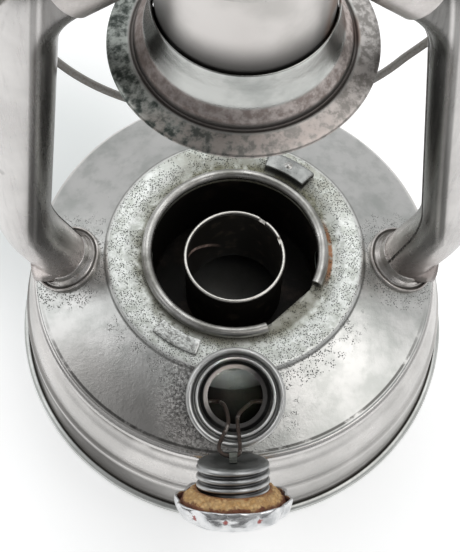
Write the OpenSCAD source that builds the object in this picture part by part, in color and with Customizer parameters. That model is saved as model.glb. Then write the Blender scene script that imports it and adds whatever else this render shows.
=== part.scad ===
// Hurricane lantern: a tubular storm lantern with its burner and glass globe taken out.
// Millimetres. +Z is up, the origin is the centre of the foot, -Y is the filler side.

/* [Tank] */
// Outer radius of the rolled foot bead
base_r = 75.5; // [70:0.5:84]
// Height of the shoulder edge, where the cone is seamed to the wall
shoulder_z = 44.3; // [40:0.1:52]
// Height of the plateau above the shoulder edge
plateau_rise = 10; // [8:0.1:13]
// Radius of the plateau's stepped edge
plateau_r = 41.1; // [39:0.1:44]
// Thickness of the sheet metal
sheet = 0.7; // [0.5:0.05:0.9]

/* [Burner opening] */
// Centre radius of the rolled C-shaped collar
collar_r = 28.7; // [27.5:0.1:30]
// Section radius of the rolled collar
collar_roll = 1.75; // [1.2:0.05:2]
// Outer radius of the burner's socket tube
socket_r = 16.5; // [13:0.1:20]
// Drop of the socket's rim below the plateau
socket_drop = 2.8; // [1:0.1:6]

/* [Filler] */
// Distance of the filler from the lantern's axis
filler_y = 48.6; // [46.5:0.1:49.5]
// Radius of the filler's rolled rim
rim_r = 15.5; // [14.6:0.1:16.2]
// Crest radius of the thread on the cap's plug
plug_r = 11.1; // [10:0.05:11.6]

/* [Cap] */
// Radius of the cap over its scallops
cap_r = 18.1; // [17:0.1:19.5]
// Number of scallops round the cap
scallops = 14; // [8:1:18]
// Lean of the hanging cap's axis from the vertical
cap_lean = 58.3; // [56:0.1:60]

/* [Side tubes] */
// Outer radius of the side tubes
tube_r = 8.6; // [7:0.05:9]
// Distance of each tube's foot from the lantern's axis
foot_r = 54.9; // [53:0.1:56]
// Straight run of a tube above its foot
foot_run = 23.3; // [20:0.1:28]
// Inward lean of the side tubes
tube_lean = 8; // [6:0.1:9]
// Straight run of the leaning part
tube_run = 96; // [86:0.1:106]
// Rise of the top arms above the horizontal
arm_rise = 37; // [34:0.1:40]

/* [Hood and crown] */
// Outer radius of the hood's brim
brim_r = 32.8; // [30:0.1:35]
// Radius of the fixed crown tube
crown_r = 20.9; // [19.5:0.1:21.5]
// Free lift of the hood
hood_lift = 6; // [3:0.1:6.5]
// Section radius of the hood spring's wire
spring_wire = 0.7; // [0.5:0.05:0.9]
// Number of curls in the hood spring
spring_curls = 7; // [5:1:9]

/* [Bail] */
// Radius of the bail's loop
bail_r = 52; // [50:0.1:54]
// Section radius of the bail's wire
bail_wire = 1.1; // [1:0.05:1.5]
// Sideways set of the bent loop
bail_set = 3.5; // [0:0.1:5]

/* [Hidden] */
$fn = 64;

shoulder_r = base_r - 10.9;
seam_r = base_r - 9.5;
seam_z = shoulder_z - 0.9;
plateau_z = shoulder_z + plateau_rise;
step_w = 1.4;
cone_run = shoulder_r - plateau_r - step_w;
cone_tilt = round(2 * atan2(plateau_rise - 1.3, cone_run)) / 2;
step_h = plateau_rise - cone_run * tan(cone_tilt);
function cone_z(r) = shoulder_z + (shoulder_r - r) * tan(cone_tilt);
dish = 1.2;
plate_z = plateau_z - dish;

// Outer profile of the wall, from the foot bead to the seam
wall_pts = [
    [base_r - 2.2, 4], [base_r - 2.9, 6.5], [base_r - 3.5, 0.49 * shoulder_z],
    [base_r - 4.7, 0.52 * shoulder_z], [base_r - 4.8, 0.55 * shoulder_z],
    [base_r - 5.3, 0.64 * shoulder_z], [base_r - 6.6, 0.72 * shoulder_z],
    [base_r - 8.3, 0.77 * shoulder_z], [base_r - 9.3, 0.81 * shoulder_z],
    [base_r - 9.6, 0.85 * shoulder_z], [base_r - 9.3, 0.885 * shoulder_z],
    [base_r - 8.5, 0.91 * shoulder_z], [base_r - 8.2, 0.935 * shoulder_z],
    [base_r - 8.5, 0.96 * shoulder_z], [seam_r, seam_z]];

// Upper profile of the top plate, from the seam to past the burner opening
top_pts = [
    [seam_r, seam_z], [seam_r - 0.4, seam_z + 0.6], [shoulder_r, shoulder_z],
    [plateau_r + step_w, plateau_z - step_h], [plateau_r + 0.6, plateau_z - 0.3],
    [plateau_r - 0.3, plateau_z], [plateau_r - 4.9, plateau_z],
    [plateau_r - 7.9, plate_z + 0.2], [plateau_r - 9.2, plate_z], [collar_r - 4, plate_z]];

drum_r = collar_r + 0.8;
drum_z = 22;
socket_in = socket_r - 0.9;
socket_top = plateau_z - socket_drop;
ledge_mid = (collar_r + collar_roll + plateau_r) / 2;
tab_out = ledge_mid + 2.95;
tab_in = tab_out - 6.2;
pad_out = ledge_mid + 2.55;
pad_in = pad_out - 5.1;

neck_r = rim_r - 1.2;
bore_r = plug_r + 0.15;
ledge_r = plug_r - 2.3;
filler_z = cone_z(filler_y);

foot_z = cone_z(foot_r);
foot_bend = 26;
top_bend = 12.6;
tube_in = tube_r - 0.6;
duct_run = 5;
duct_bend = 13;
ring_r = tube_r + 3.1;
h0 = cone_tilt;
h1 = -tube_lean;
h2 = arm_rise - 90;
p1 = [foot_r + foot_run * sin(h0), foot_z + foot_run * cos(h0)];
p2 = p1 + foot_bend * [cos(h1) - cos(h0), sin(h0) - sin(h1)];
p3 = p2 + tube_run * [sin(h1), cos(h1)];
p4 = p3 + top_bend * [cos(h2) - cos(h1), sin(h1) - sin(h2)];
bend_c = p3 + top_bend * [-cos(h1), sin(h1)];
tube_tail = 12;
sleeve_r = tube_r + 0.7;
neck_arm_r = tube_r - 0.8;
neck_arm_in = neck_arm_r - 0.8;
arm_root = (p4[0] - crown_r) / sin(-h2);

brim_z = p4[1] - 16.75;
cove_r = crown_r + 0.4;
hood_h = 16.2;
crown_low = brim_z + hood_lift + 3.5;
crown_top = p4[1] + 35.75;
flare_low = brim_z + hood_h + hood_lift + 0.4;
chimney_r = 13.5;
guide_r = chimney_r + 0.4;
plate_low = brim_z + 2.2;
plate_t = 0.8;
crown_plate_z = crown_top - 1.4;
canopy_r = crown_r + 4.1;
canopy_low = crown_top - 6.5;
canopy_top = crown_top + 11.6;
ring_major = 8;
ring_wire = 0.9;
eye_major = 2.4;
eye_wire = 0.8;
eye_z = canopy_top + 1.6;

spring_r = (chimney_r + crown_r - 0.7) / 2 - 0.2;
spring_low = plate_low + plate_t + spring_wire;
spring_high = crown_plate_z - spring_wire;
spring_rings = spring_curls * 8;
spring_rise = (spring_high - spring_low) / spring_rings;
spring_line = [for (i = [0 : spring_rings])
    [spring_r * cos(i * 45), spring_r * sin(i * 45), spring_low + spring_rise * i]];
spring_gap = min([for (i = [0 : spring_rings - 5], j = [i + 5 : spring_rings])
    norm(spring_line[j] - spring_line[i])]) - 2 * spring_wire;
echo(spring_least_gap = spring_gap);

ear_z = p4[1] + 0.2;
ear_face = bend_c[0] + sqrt(pow(top_bend + tube_r, 2) - pow(ear_z - bend_c[1], 2));
ear_len = 4.3;
ear_r = 3.2;
pin_clear = 0.05;
bail_x = ear_face + ear_len + 0.5 + bail_wire;
bail_y = tube_r + 0.5 + bail_wire;
loop_z = ear_z - 14;

cap_pos = [-1, -(shoulder_r + 15.5), filler_z + 0.4];
plug_len = 11;
hook_s = plug_len + 1.3;
hook_wire = 0.75;
hook = [cap_pos[0], cap_pos[1] + hook_s * sin(cap_lean), cap_pos[2] + hook_s * cos(cap_lean)];

function down(pts, dr, dz) = [for (i = [len(pts) - 1 : -1 : 0]) pts[i] + [dr, dz]];
function part_of(pts, a, b) = [for (i = [a : b]) pts[i]];

// A round bar between two points
module bar(p, q, r) {
    d = q - p;
    n = norm(d);
    translate(p) rotate([0, acos(d[2] / n), atan2(d[1], d[0])]) cylinder(h = n, r = r);
}
// Bent wire: bars with a hand-bent knuckle, a hair fuller than the wire, at each corner
module wire(pts, r) {
    for (i = [0 : len(pts) - 2]) bar(pts[i], pts[i + 1], r);
    for (i = [1 : len(pts) - 2]) translate(pts[i]) rotate([17, 31, 0]) sphere(r = 1.04 * r);
}

// Hollow tube pieces, laid end to end: each draws itself and passes its end frame on.
// A bend ends in a faint drawn bead, which joins it to the next piece.
module run(n, ro, ri) {
    linear_extrude(n) difference() { circle(ro); circle(ri); }
    translate([0, 0, n]) children();
}
module bend(big, a, ro, ri) {
    translate([-big, 0, 0]) {
        rotate([90, 0, 0]) rotate_extrude(angle = a)
            translate([big, 0]) difference() { circle(ro); circle(ri); }
        rotate([0, -a, 0]) translate([big, 0, 0]) {
            translate([0, 0, -0.6]) linear_extrude(1.2)
                difference() { circle(ro + 0.1); circle(ri - 0.1); }
            children();
        }
    }
}

module at_foot() translate([foot_r, 0, foot_z]) rotate([0, cone_tilt, 0]) children();
module at_arm() translate([p4[0], 0, p4[1]]) rotate([0, h2, 0]) children();
module at_filler() translate([0, -filler_y, filler_z]) rotate([cone_tilt, 0, 0]) children();
module at_cap() translate(cap_pos) rotate([-cap_lean, 0, 0]) children();
module both() { children(); mirror([1, 0, 0]) children(); }

// The outside of the tank as one solid, used to seat what stands on it
module tank_solid() rotate_extrude() polygon(concat([[0, 0], [base_r - 2.2, 0]], wall_pts,
    part_of(top_pts, 1, 6), [[0, plateau_z]]));

module tank_bottom() color([0.62, 0.63, 0.6]) rotate_extrude() polygon([
    [0, 1.8], [base_r - 5.3, 1.8], [base_r - 4.9, 0.5], [base_r - 4.1, 0], [base_r - 1.5, 0],
    [base_r - 0.5, 0.5], [base_r, 1.5], [base_r, 2.7], [base_r - 0.5, 3.6], [base_r - 1.5, 4],
    [base_r - 3.9, 4], [base_r - 4.5, 2.6], [0, 2.6]]);

module tank_wall() color([0.68, 0.69, 0.67]) rotate_extrude()
    polygon(concat(wall_pts, down(wall_pts, -sheet, 0)));

module tank_top() color([0.7, 0.72, 0.7]) difference() {
    rotate_extrude() polygon(concat(part_of(top_pts, 0, 9), [[collar_r - 4, plate_z - sheet]],
        down(part_of(top_pts, 1, 8), -sheet / 2, -sheet), [[seam_r - sheet, seam_z]]));
    translate([0, 0, plate_z - 3]) linear_extrude(6) difference() {
        circle(collar_r - 1.3);
        rotate(-47) translate([collar_r - 2.7, -20]) square([10, 40]);
    }
    at_filler() translate([0, 0, -20]) cylinder(h = 40, r = neck_r);
    both() at_foot() translate([0, 0, -12]) cylinder(h = 24, r = tube_r);
}

module chamber_drum() color([0.16, 0.15, 0.14]) difference() {
    rotate_extrude() polygon([[socket_r, drum_z], [drum_r - 1, drum_z], [drum_r, drum_z + 1],
        [drum_r, plate_z - sheet], [drum_r - sheet, plate_z - sheet], [drum_r - sheet, drum_z + 1.4],
        [drum_r - 1.4, drum_z + sheet], [socket_r, drum_z + sheet]]);
    both() duct_cut();
}

// The bore through the drum's wall that a side tube's inner end fills
module duct_cut() at_foot() rotate([0, 180, 180]) translate([0, 0, duct_run])
    translate([-duct_bend, 0, 0]) rotate([0, cone_tilt - 90, 0]) translate([duct_bend, 0, 0])
    cylinder(h = foot_r - 20, r = tube_r);

module burner_socket() color([0.72, 0.7, 0.66]) difference() {
    rotate_extrude() polygon([[socket_in, drum_z - 2.4], [socket_r, drum_z - 2.4],
        [socket_r, socket_top - 1.4], [socket_r + 0.35, socket_top - 1],
        [socket_r + 0.35, socket_top - 0.4], [socket_r - 0.1, socket_top],
        [socket_in + 0.3, socket_top], [socket_in, socket_top - 0.4]]);
    for (a = [20.6, 54.2]) rotate(a) translate([socket_in - 1, -1.2, socket_top - 2.2])
        cube([4, 2.4, 4]);
}

module collar_ring() color([0.74, 0.73, 0.7]) rotate(-24.4) translate([0, 0, plate_z + collar_roll])
    rotate_extrude(angle = 314.6) translate([collar_r, 0]) difference() {
        circle(collar_roll);
        circle(collar_roll - sheet);
    }

module catch_tab() color([0.6, 0.61, 0.58]) rotate(46.5) translate([0, 0, plateau_z])
    rotate_extrude(angle = 25) polygon([[tab_out, 0], [tab_out, 2.2], [tab_out - 0.6, 2.6],
        [tab_in, 2.9], [tab_in, 2], [tab_out - 0.9, 1.6], [tab_out - 0.9, 0]]);

module rest_pad() color([0.6, 0.61, 0.58]) rotate(-133) translate([0, 0, plateau_z])
    rotate_extrude(angle = 24) polygon([[pad_out, 0], [pad_out, 0.9], [pad_out - 0.4, 1.2],
        [pad_in, 1.2], [pad_in, 0.5], [pad_out - 1.8, 0.4], [pad_out - 1.8, 0]]);

module filler_neck() color([0.66, 0.67, 0.66]) at_filler() rotate_extrude() polygon([
    [ledge_r, -6.6], [neck_r, -6.6], [neck_r, 2.4], [rim_r - 0.4, 2.6], [rim_r, 3.2], [rim_r, 4],
    [rim_r - 0.4, 4.6], [rim_r - 1.1, 4.9], [rim_r - 1.8, 4.7], [rim_r - 2.3, 4.1],
    [rim_r - 2.6, 3], [bore_r, 2.5], [bore_r, 1.9], [bore_r + 0.5, 1.4], [bore_r + 0.5, 0.9],
    [bore_r, 0.4], [bore_r, -0.2], [bore_r + 0.5, -0.7], [bore_r + 0.5, -1.2], [bore_r, -1.7],
    [bore_r, -2.3], [bore_r + 0.5, -2.8], [bore_r + 0.5, -5.6], [ledge_r, -5.6]]);

module scallop_ring() difference() {
    union() {
        circle(cap_r - 0.9);
        for (i = [0 : scallops - 1]) rotate(i * 360 / scallops)
            translate([cap_r - 3.2, 0]) circle(3.2);
    }
    circle(cap_r - 1.9);
}

module cap_shell() color([0.8, 0.8, 0.82]) at_cap() {
    translate([0, 0, -5.8]) linear_extrude(5.8) scallop_ring();
    rotate_extrude() polygon([[0, -9.2], [9, -9.2], [cap_r - 3.5, -8.2], [cap_r - 0.95, -5.8],
        [cap_r - 1.9, -5.8], [cap_r - 4.1, -7.5], [9, -8.4], [0, -8.4]]);
}

module cap_gasket() color([0.72, 0.55, 0.33]) at_cap() rotate_extrude() polygon([
    [plug_r - 0.5, -3], [cap_r - 2.2, -3], [cap_r - 2.7, 0.6], [plug_r + 1.5, 2.8],
    [plug_r - 0.5, 2.9]]);

module cap_plug() color([0.36, 0.37, 0.37]) at_cap() rotate_extrude() polygon([
    [0, -5.4], [cap_r - 1.9, -5.4], [cap_r - 1.9, -3], [plug_r - 0.5, -3], [plug_r - 0.5, 3.2],
    [plug_r, 3.7], [plug_r, 5], [plug_r - 0.7, 5.5], [plug_r - 0.7, 6], [plug_r, 6.5],
    [plug_r, 7.9], [plug_r - 0.7, 8.4], [plug_r - 0.7, 8.8], [plug_r - 0.1, 9.3],
    [plug_r - 0.1, 10.3], [plug_r - 1.2, plug_len], [0, plug_len]]);

module cap_staple() color([0.4, 0.41, 0.38]) at_cap() difference() {
    translate([-1.4, -1.3, plug_len]) cube([2.8, 2.6, 2.7]);
    translate([-5, 0, hook_s]) rotate([0, 90, 0]) cylinder(h = 10, r = hook_wire + pin_clear);
}

// A point given in the filler's own frame: across, up the slope, along the neck
function in_neck(x, e, s) = [x, -filler_y + e * cos(cone_tilt) - s * sin(cone_tilt),
    filler_z + e * sin(cone_tilt) + s * cos(cone_tilt)];

module cap_wire() color([0.2, 0.16, 0.14]) wire([
    in_neck(-9.8, -1.7, -8.3), in_neck(-5.4, -1.7, -8.3), in_neck(-4.4, -2, -6),
    in_neck(-3.4, -2.6, -3), in_neck(-2.4, -5.6, 0.5), in_neck(-2.2, -8.5, 3.8),
    in_neck(-4.4, -12.1, 7.6), hook + [-4.6, 2.6, -0.9], hook + [-2.6, 0, 0], hook + [2.2, 0, 0],
    in_neck(1.1, -12.7, 8.1), in_neck(0.5, -8.5, 3.8), in_neck(0.6, -5.6, 0.5),
    in_neck(2.5, -3.8, -2), in_neck(4.6, -2.4, -6), in_neck(5.6, -1.7, -8.3),
    in_neck(9.8, -1.7, -8.3)], hook_wire);

module tube() {
    at_foot() translate([0, 0, -duct_run]) run(duct_run + foot_run, tube_r, tube_in)
        bend(foot_bend, h0 - h1, tube_r, tube_in)
        run(tube_run, tube_r, tube_in)
        bend(top_bend, h1 - h2, tube_r, tube_in)
        run(tube_tail, tube_r, tube_in);
    at_foot() rotate([0, 180, 180]) translate([0, 0, duct_run])
        bend(duct_bend, 90 - cone_tilt, tube_r, tube_in)
        run(duct_tail, tube_r, tube_in);
}
duct_tail = foot_r - duct_run * sin(cone_tilt) - duct_bend * cos(cone_tilt) - drum_r + 1.6;
module left_tube() color([0.72, 0.7, 0.68]) mirror([1, 0, 0]) tube();
module right_tube() color([0.72, 0.7, 0.68]) mirror([0, 1, 0]) tube();

module foot_ring() difference() {
    at_foot() rotate_extrude() polygon([[tube_r, -1.2], [ring_r, -1.2], [ring_r, 1],
        [ring_r - 0.4, 1.5], [ring_r - 1.3, 1.7], [tube_r + 1.1, 2.4], [tube_r + 0.5, 3.5],
        [tube_r, 4.4]]);
    tank_solid();
}
module left_foot_ring() color([0.75, 0.74, 0.71]) mirror([1, 0, 0]) foot_ring();
module right_foot_ring() color([0.75, 0.74, 0.71]) foot_ring();

module arm() difference() {
    union() {
        at_arm() rotate_extrude() polygon([[tube_r, 4], [sleeve_r - 0.2, 4], [sleeve_r, 4.4],
            [sleeve_r, 15.4], [neck_arm_r, 17], [neck_arm_r, 60], [neck_arm_in, 60],
            [neck_arm_in, tube_tail], [tube_r, tube_tail]]);
        intersection() {
            translate([0, 0, flare_low]) linear_extrude(60) difference() {
                circle(crown_r + 1);
                circle(crown_r);
            }
            at_arm() difference() {
                translate([0, 0, 10]) cylinder(h = 50, r = neck_arm_r + 1.6);
                translate([0, 0, 9]) cylinder(h = 52, r = neck_arm_in);
            }
        }
    }
    translate([0, 0, p4[1] - 40]) cylinder(h = 120, r = crown_r);
    translate([-200, -100, p4[1] - 60]) cube([200, 200, 200]);
}
module left_arm() color([0.7, 0.68, 0.66]) mirror([1, 0, 0]) arm();
module right_arm() color([0.7, 0.68, 0.66]) arm();

// Domed rivet heads: one on the front of each sleeve, one low on the front of each arm's root
module rivet_head(r, turn, along) rotate(turn) difference() {
    translate([r - 0.5, 0, along]) sphere(r = 1.3);
    translate([0, 0, along - 5]) cylinder(h = 10, r = r);
}
module arm_rivets() color([0.8, 0.78, 0.75]) both() at_arm() {
    rivet_head(sleeve_r, -71, 11);
    rivet_head(neck_arm_r, -135, arm_root - 8.6);
}

module bail_ears() color([0.66, 0.65, 0.62]) both() difference() {
    translate([ear_face - 3, 0, ear_z]) rotate([0, 90, 0]) cylinder(h = ear_len + 3, r = ear_r);
    translate([ear_face - 6, 0, ear_z]) rotate([0, 90, 0])
        cylinder(h = ear_len + 9, r = bail_wire + pin_clear);
    translate([bend_c[0], 0, bend_c[1]]) rotate([90, 0, 0]) rotate_extrude()
        translate([top_bend, 0]) circle(tube_r);
}

// One side of the bail: sx is the side, cx the loop's centre measured towards that side
function tangent_deg(cx) = atan2(ear_z - loop_z, bail_x - cx)
    - acos(bail_r / norm([bail_x - cx, ear_z - loop_z]));
module bail_side(cx) {
    a = tangent_deg(cx);
    wire([[ear_face + 0.9, 0, ear_z], [bail_x, 0, ear_z], [bail_x, bail_y, ear_z],
        [cx + bail_r * cos(a), bail_y, loop_z + bail_r * sin(a)]], bail_wire);
    translate([cx + bail_r * cos(a), bail_y, loop_z + bail_r * sin(a)]) rotate([17, 31, 0])
        sphere(r = 1.04 * bail_wire);
}
module bail() color([0.33, 0.32, 0.3]) {
    bail_side(-bail_set);
    mirror([1, 0, 0]) bail_side(bail_set);
    ra = tangent_deg(-bail_set);
    la = 180 - tangent_deg(bail_set);
    translate([-bail_set, bail_y, loop_z]) rotate([90, 0, 0]) rotate(la)
        rotate_extrude(angle = ra + 360 - la) translate([bail_r, 0]) circle(bail_wire);
}

module crown_tube() color([0.74, 0.72, 0.7]) difference() {
    translate([0, 0, crown_low]) linear_extrude(crown_top - crown_low) difference() {
        circle(crown_r);
        circle(crown_r - sheet);
    }
    both() at_arm() cylinder(h = p4[0] / sin(-h2) - 3, r = neck_arm_in);
}

module crown_plate() color([0.6, 0.6, 0.58]) translate([0, 0, crown_plate_z])
    linear_extrude(plate_t) difference() { circle(crown_r - sheet); circle(guide_r); }

hood_pts = [[brim_r, -0.5], [brim_r, 0.1], [brim_r - 0.5, 0.5], [27.8, 1.6], [27.2, 1.7],
    [26.7, 1.4], [26.2, 1.5], [26.1, 2.4], [25.8, 3.5], [25.1, 4.4], [24.3, 5.3], [23.5, 6.7],
    [22.9, 8.6], [22.4, 11], [22.1, 13.6], [cove_r + 0.6, hood_h]];
hood_in = [[cove_r, hood_h], [21.5, 13.4], [21.8, 10.8], [22.3, 8.3], [22.9, 6.3], [23.8, 4.8],
    [25.3, 3.2], [25.3, 1.2], [27.6, 0.9], [brim_r - 1, -0.1], [brim_r - 0.6, -0.5]];
module hood() color([0.62, 0.65, 0.62]) translate([0, 0, brim_z]) rotate_extrude()
    polygon(concat(hood_pts, hood_in));

module hood_plate() color([0.45, 0.44, 0.42]) translate([0, 0, plate_low]) linear_extrude(plate_t)
    difference() {
        circle(25.3);
        circle(chimney_r);
        for (i = [0 : 7]) rotate(i * 45 + 22.5) translate([21.2, 0]) circle(2.2);
    }

module inner_chimney() color([0.4, 0.39, 0.37]) translate([0, 0, plate_low])
    linear_extrude(canopy_top - 7.1 - plate_low) difference() {
        circle(chimney_r);
        circle(chimney_r - 0.6);
    }

// One unbroken tube swept along a helix, closed at both ends
module hood_spring() color([0.5, 0.5, 0.5]) {
    rings = spring_rings;
    sides = 6;
    lay = atan2(spring_rise * 8, 2 * PI * spring_r);
    pts = [for (i = [0 : rings], k = [0 : sides - 1])
        let (t = i * 45, b = k * 360 / sides, along = -spring_wire * sin(b) * sin(lay))
        spring_line[i] + [spring_wire * cos(b) * cos(t) - along * sin(t),
            spring_wire * cos(b) * sin(t) + along * cos(t), spring_wire * sin(b) * cos(lay)]];
    faces = concat([[for (k = [0 : sides - 1]) k]],
        [for (i = [0 : rings - 1], k = [0 : sides - 1])
            [i * sides + k, (i + 1) * sides + k, (i + 1) * sides + (k + 1) % sides,
                i * sides + (k + 1) % sides]],
        [[for (k = [sides - 1 : -1 : 0]) rings * sides + k]]);
    polyhedron(pts, faces, convexity = 10);
}

canopy_pts = [[canopy_r, canopy_low], [canopy_r, crown_top - 0.5], [canopy_r - 0.8, crown_top + 1.6],
    [canopy_r - 2.4, crown_top + 3.4], [14, canopy_top - 3], [8, canopy_top - 0.7],
    [4.5, canopy_top], [0, canopy_top]];
canopy_in = [[0, canopy_top - 0.8], [4.4, canopy_top - 0.8], [7.8, canopy_top - 1.5],
    [13.4, canopy_top - 3.8], [canopy_r - 3.6, crown_top + 3.3], [canopy_r - 3.6, crown_top + 2.2],
    [canopy_r - 1.4, crown_top + 1.2], [canopy_r - 0.7, crown_top - 0.7], [canopy_r - 0.7, canopy_low]];
module canopy() color([0.68, 0.67, 0.65]) difference() {
    rotate_extrude() polygon(concat(canopy_pts, canopy_in));
    for (i = [0 : 11]) rotate(i * 30 + 15) translate([17, 0, crown_top + 4]) cylinder(h = 12, r = 1.7);
}

module canopy_ring() color([0.5, 0.49, 0.47]) translate([0, 0, crown_top + 2.4]) linear_extrude(0.8)
    difference() { circle(canopy_r - 3.6); circle(chimney_r); }

module lift_eye() color([0.6, 0.6, 0.58]) difference() {
    translate([0, 0, eye_z]) rotate([90, 0, 0]) rotate_extrude()
        translate([eye_major, 0]) circle(eye_wire);
    translate([-5, -5, canopy_top - 10]) cube([10, 10, 10]);
}

module lift_ring() color([0.55, 0.54, 0.52]) translate([ring_major, 0, eye_z]) rotate_extrude()
    translate([ring_major, 0]) circle(ring_wire);

tank_bottom();
tank_wall();
tank_top();
chamber_drum();
burner_socket();
collar_ring();
catch_tab();
rest_pad();
filler_neck();
cap_shell();
cap_gasket();
cap_plug();
cap_staple();
cap_wire();
left_tube();
right_tube();
left_foot_ring();
right_foot_ring();
left_arm();
right_arm();
arm_rivets();
bail_ears();
bail();
crown_tube();
crown_plate();
hood();
hood_plate();
inner_chimney();
hood_spring();
canopy();
canopy_ring();
lift_eye();
lift_ring();
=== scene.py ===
"""The looks of a tubular storm lantern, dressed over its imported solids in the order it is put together."""
import math

import bmesh
import bpy
import numpy as np
from mathutils import Matrix, Vector, noise


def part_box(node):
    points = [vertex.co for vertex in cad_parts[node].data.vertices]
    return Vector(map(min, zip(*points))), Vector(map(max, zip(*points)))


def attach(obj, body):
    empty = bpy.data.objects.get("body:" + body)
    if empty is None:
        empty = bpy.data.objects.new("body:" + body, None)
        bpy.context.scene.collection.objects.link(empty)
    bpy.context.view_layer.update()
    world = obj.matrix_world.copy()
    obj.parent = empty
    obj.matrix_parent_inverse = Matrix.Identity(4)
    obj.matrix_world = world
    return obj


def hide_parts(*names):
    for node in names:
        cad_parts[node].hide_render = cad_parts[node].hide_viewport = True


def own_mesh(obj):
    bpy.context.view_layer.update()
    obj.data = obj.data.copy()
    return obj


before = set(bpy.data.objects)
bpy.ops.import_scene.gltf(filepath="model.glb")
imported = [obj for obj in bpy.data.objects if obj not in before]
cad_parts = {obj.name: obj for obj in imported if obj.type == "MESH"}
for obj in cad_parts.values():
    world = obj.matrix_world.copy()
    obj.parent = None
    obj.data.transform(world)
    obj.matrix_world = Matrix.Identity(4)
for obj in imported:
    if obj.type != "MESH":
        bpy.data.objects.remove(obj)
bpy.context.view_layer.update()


# The studio: a pale seamless floor under a large soft key on the right, two weaker fills, and a small lamp
# beside the camera that reaches into the filler. The camera looks steeply down on the lantern from the front.
MM = 0.001


class Flow:
    """A socket in a node tree, so that shader maths reads as Python."""

    def __init__(self, tree, socket=None):
        self.tree = tree
        self.socket = socket

    def node(self, kind, settings=None, sockets=None, out=0):
        """A new node: its settings first, then the values or links of its sockets."""
        made = self.tree.nodes.new(kind)
        for key, value in (settings or {}).items():
            setattr(made, key, value)
        for key, value in (sockets or {}).items():
            if isinstance(value, Flow):
                self.tree.links.new(value.socket, made.inputs[key])
            else:
                made.inputs[key].default_value = value
        return Flow(self.tree, made.outputs[out] if made.outputs else None)

    def maths(self, operation, *values):
        """A Math node on sockets or numbers."""
        return self.node("ShaderNodeMath", {"operation": operation}, dict(enumerate(values)))

    def __add__(self, other):
        return self.maths("ADD", self, other)

    def __radd__(self, other):
        return self.maths("ADD", other, self)

    def __sub__(self, other):
        return self.maths("SUBTRACT", self, other)

    def __rsub__(self, other):
        return self.maths("SUBTRACT", other, self)

    def __mul__(self, other):
        return self.maths("MULTIPLY", self, other)

    def __rmul__(self, other):
        return self.maths("MULTIPLY", other, self)

    def __truediv__(self, other):
        return self.maths("DIVIDE", self, other)

    def __pow__(self, other):
        return self.maths("POWER", self, other)

    def __abs__(self):
        return self.maths("ABSOLUTE", self)

    def between(self, low, high):
        """0 below low, 1 above high, and a smooth step in between."""
        return self.node("ShaderNodeMapRange", {"interpolation_type": "SMOOTHSTEP"},
                         {"Value": self, "From Min": low, "From Max": high})

    def below(self, low, high):
        """1 below low, 0 above high, and a smooth step in between."""
        return 1 - self.between(low, high)

    def within(self, low, full, last, high):
        """1 from full to last, and 0 below low and above high."""
        return self.between(low, full) * self.below(last, high)

    def near(self, middle, inner, outer):
        """1 within inner of a middle value, and 0 beyond outer from it."""
        return abs(self - middle).below(inner, outer)

    def mix(self, low, high):
        """A colour that goes from low to high as this value goes from 0 to 1."""
        sides = {k: (*c, 1.0) if isinstance(c, tuple) else c for k, c in ((6, low), (7, high))}
        return self.node("ShaderNodeMix", {"data_type": "RGBA"}, {0: self, **sides}, out=2)


def new_finish(name):
    """An empty material, and the place of a point on the lantern, which its other nodes start from."""
    made = bpy.data.materials.new(name)
    made.use_nodes = True
    made.node_tree.nodes.clear()
    return made, Flow(made.node_tree).node("ShaderNodeTexCoord", out="Object")


def axes_of(place):
    """The three coordinates of a place."""
    return [place.node("ShaderNodeSeparateXYZ", None, {"Vector": place}, out=k) for k in range(3)]


def distance(a, b):
    """How far a point lies out along two coordinates together."""
    return (a * a + b * b) ** 0.5


def close_finish(place, sockets, height=None, depth=0.1):
    """Ends a finish in one shader; height is its relief and depth the relief's size in millimetres."""
    if height is not None:
        sockets["Normal"] = place.node("ShaderNodeBump", None, {"Height": height, "Distance": depth * MM})
    shader = place.node("ShaderNodeBsdfPrincipled", None, sockets)
    place.node("ShaderNodeOutputMaterial", None, {"Surface": shader})


def solid(name, points, faces, smooth=True):
    """A mesh object in the lantern's frame, from points in millimetres."""
    mesh = bpy.data.meshes.new(name)
    mesh.from_pydata([tuple(float(x) * MM for x in p) for p in points], [], faces)
    mesh.validate()
    mesh.polygons.foreach_set("use_smooth", [smooth] * len(mesh.polygons))
    made = bpy.data.objects.new(name, mesh)
    bpy.context.scene.collection.objects.link(made)
    return made


floor_half = 3000
floor_drop = 0.05
floor_corners = ((-1, -1), (1, -1), (1, 1), (-1, 1))
floor_tone = (0.9, 0.905, 0.905)
floor_lift = 0.4
shadow_tone = (0.72, 0.75, 0.745)
shadow_x, shadow_y = -0.072, 0.062
floor_points = [(x * floor_half, y * floor_half, -floor_drop) for x, y in floor_corners]
floor = solid("floor", floor_points, [(0, 1, 2, 3)])
floor_paper, floor_place = new_finish("floor_paper")
floor_x, floor_y = axes_of(floor_place)[:2]
# Painted shadow of the tank on the floor at its back left: a greyer colour and less glow there.
shade = distance(floor_x - shadow_x, floor_y - shadow_y).below(0.015, 0.09)
far_off = distance(floor_x, floor_y).between(0.35, 1.2)
to_eye = floor_place.node("ShaderNodeLightPath", out="Is Camera Ray")
to_metal = floor_place.node("ShaderNodeLightPath", out="Is Glossy Ray")
floor_glow = (to_eye * (floor_lift + 0.6 * far_off) + to_metal * floor_lift) * (1 - 0.55 * shade)
close_finish(floor_place, {
    "Base Color": shade.mix(floor_tone, shadow_tone), "Roughness": 1.0, "Specular IOR Level": 0.0,
    "Emission Color": floor_glow.mix((0, 0, 0), (1, 1, 1)), "Emission Strength": 1.0})
floor.data.materials.append(floor_paper)

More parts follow.
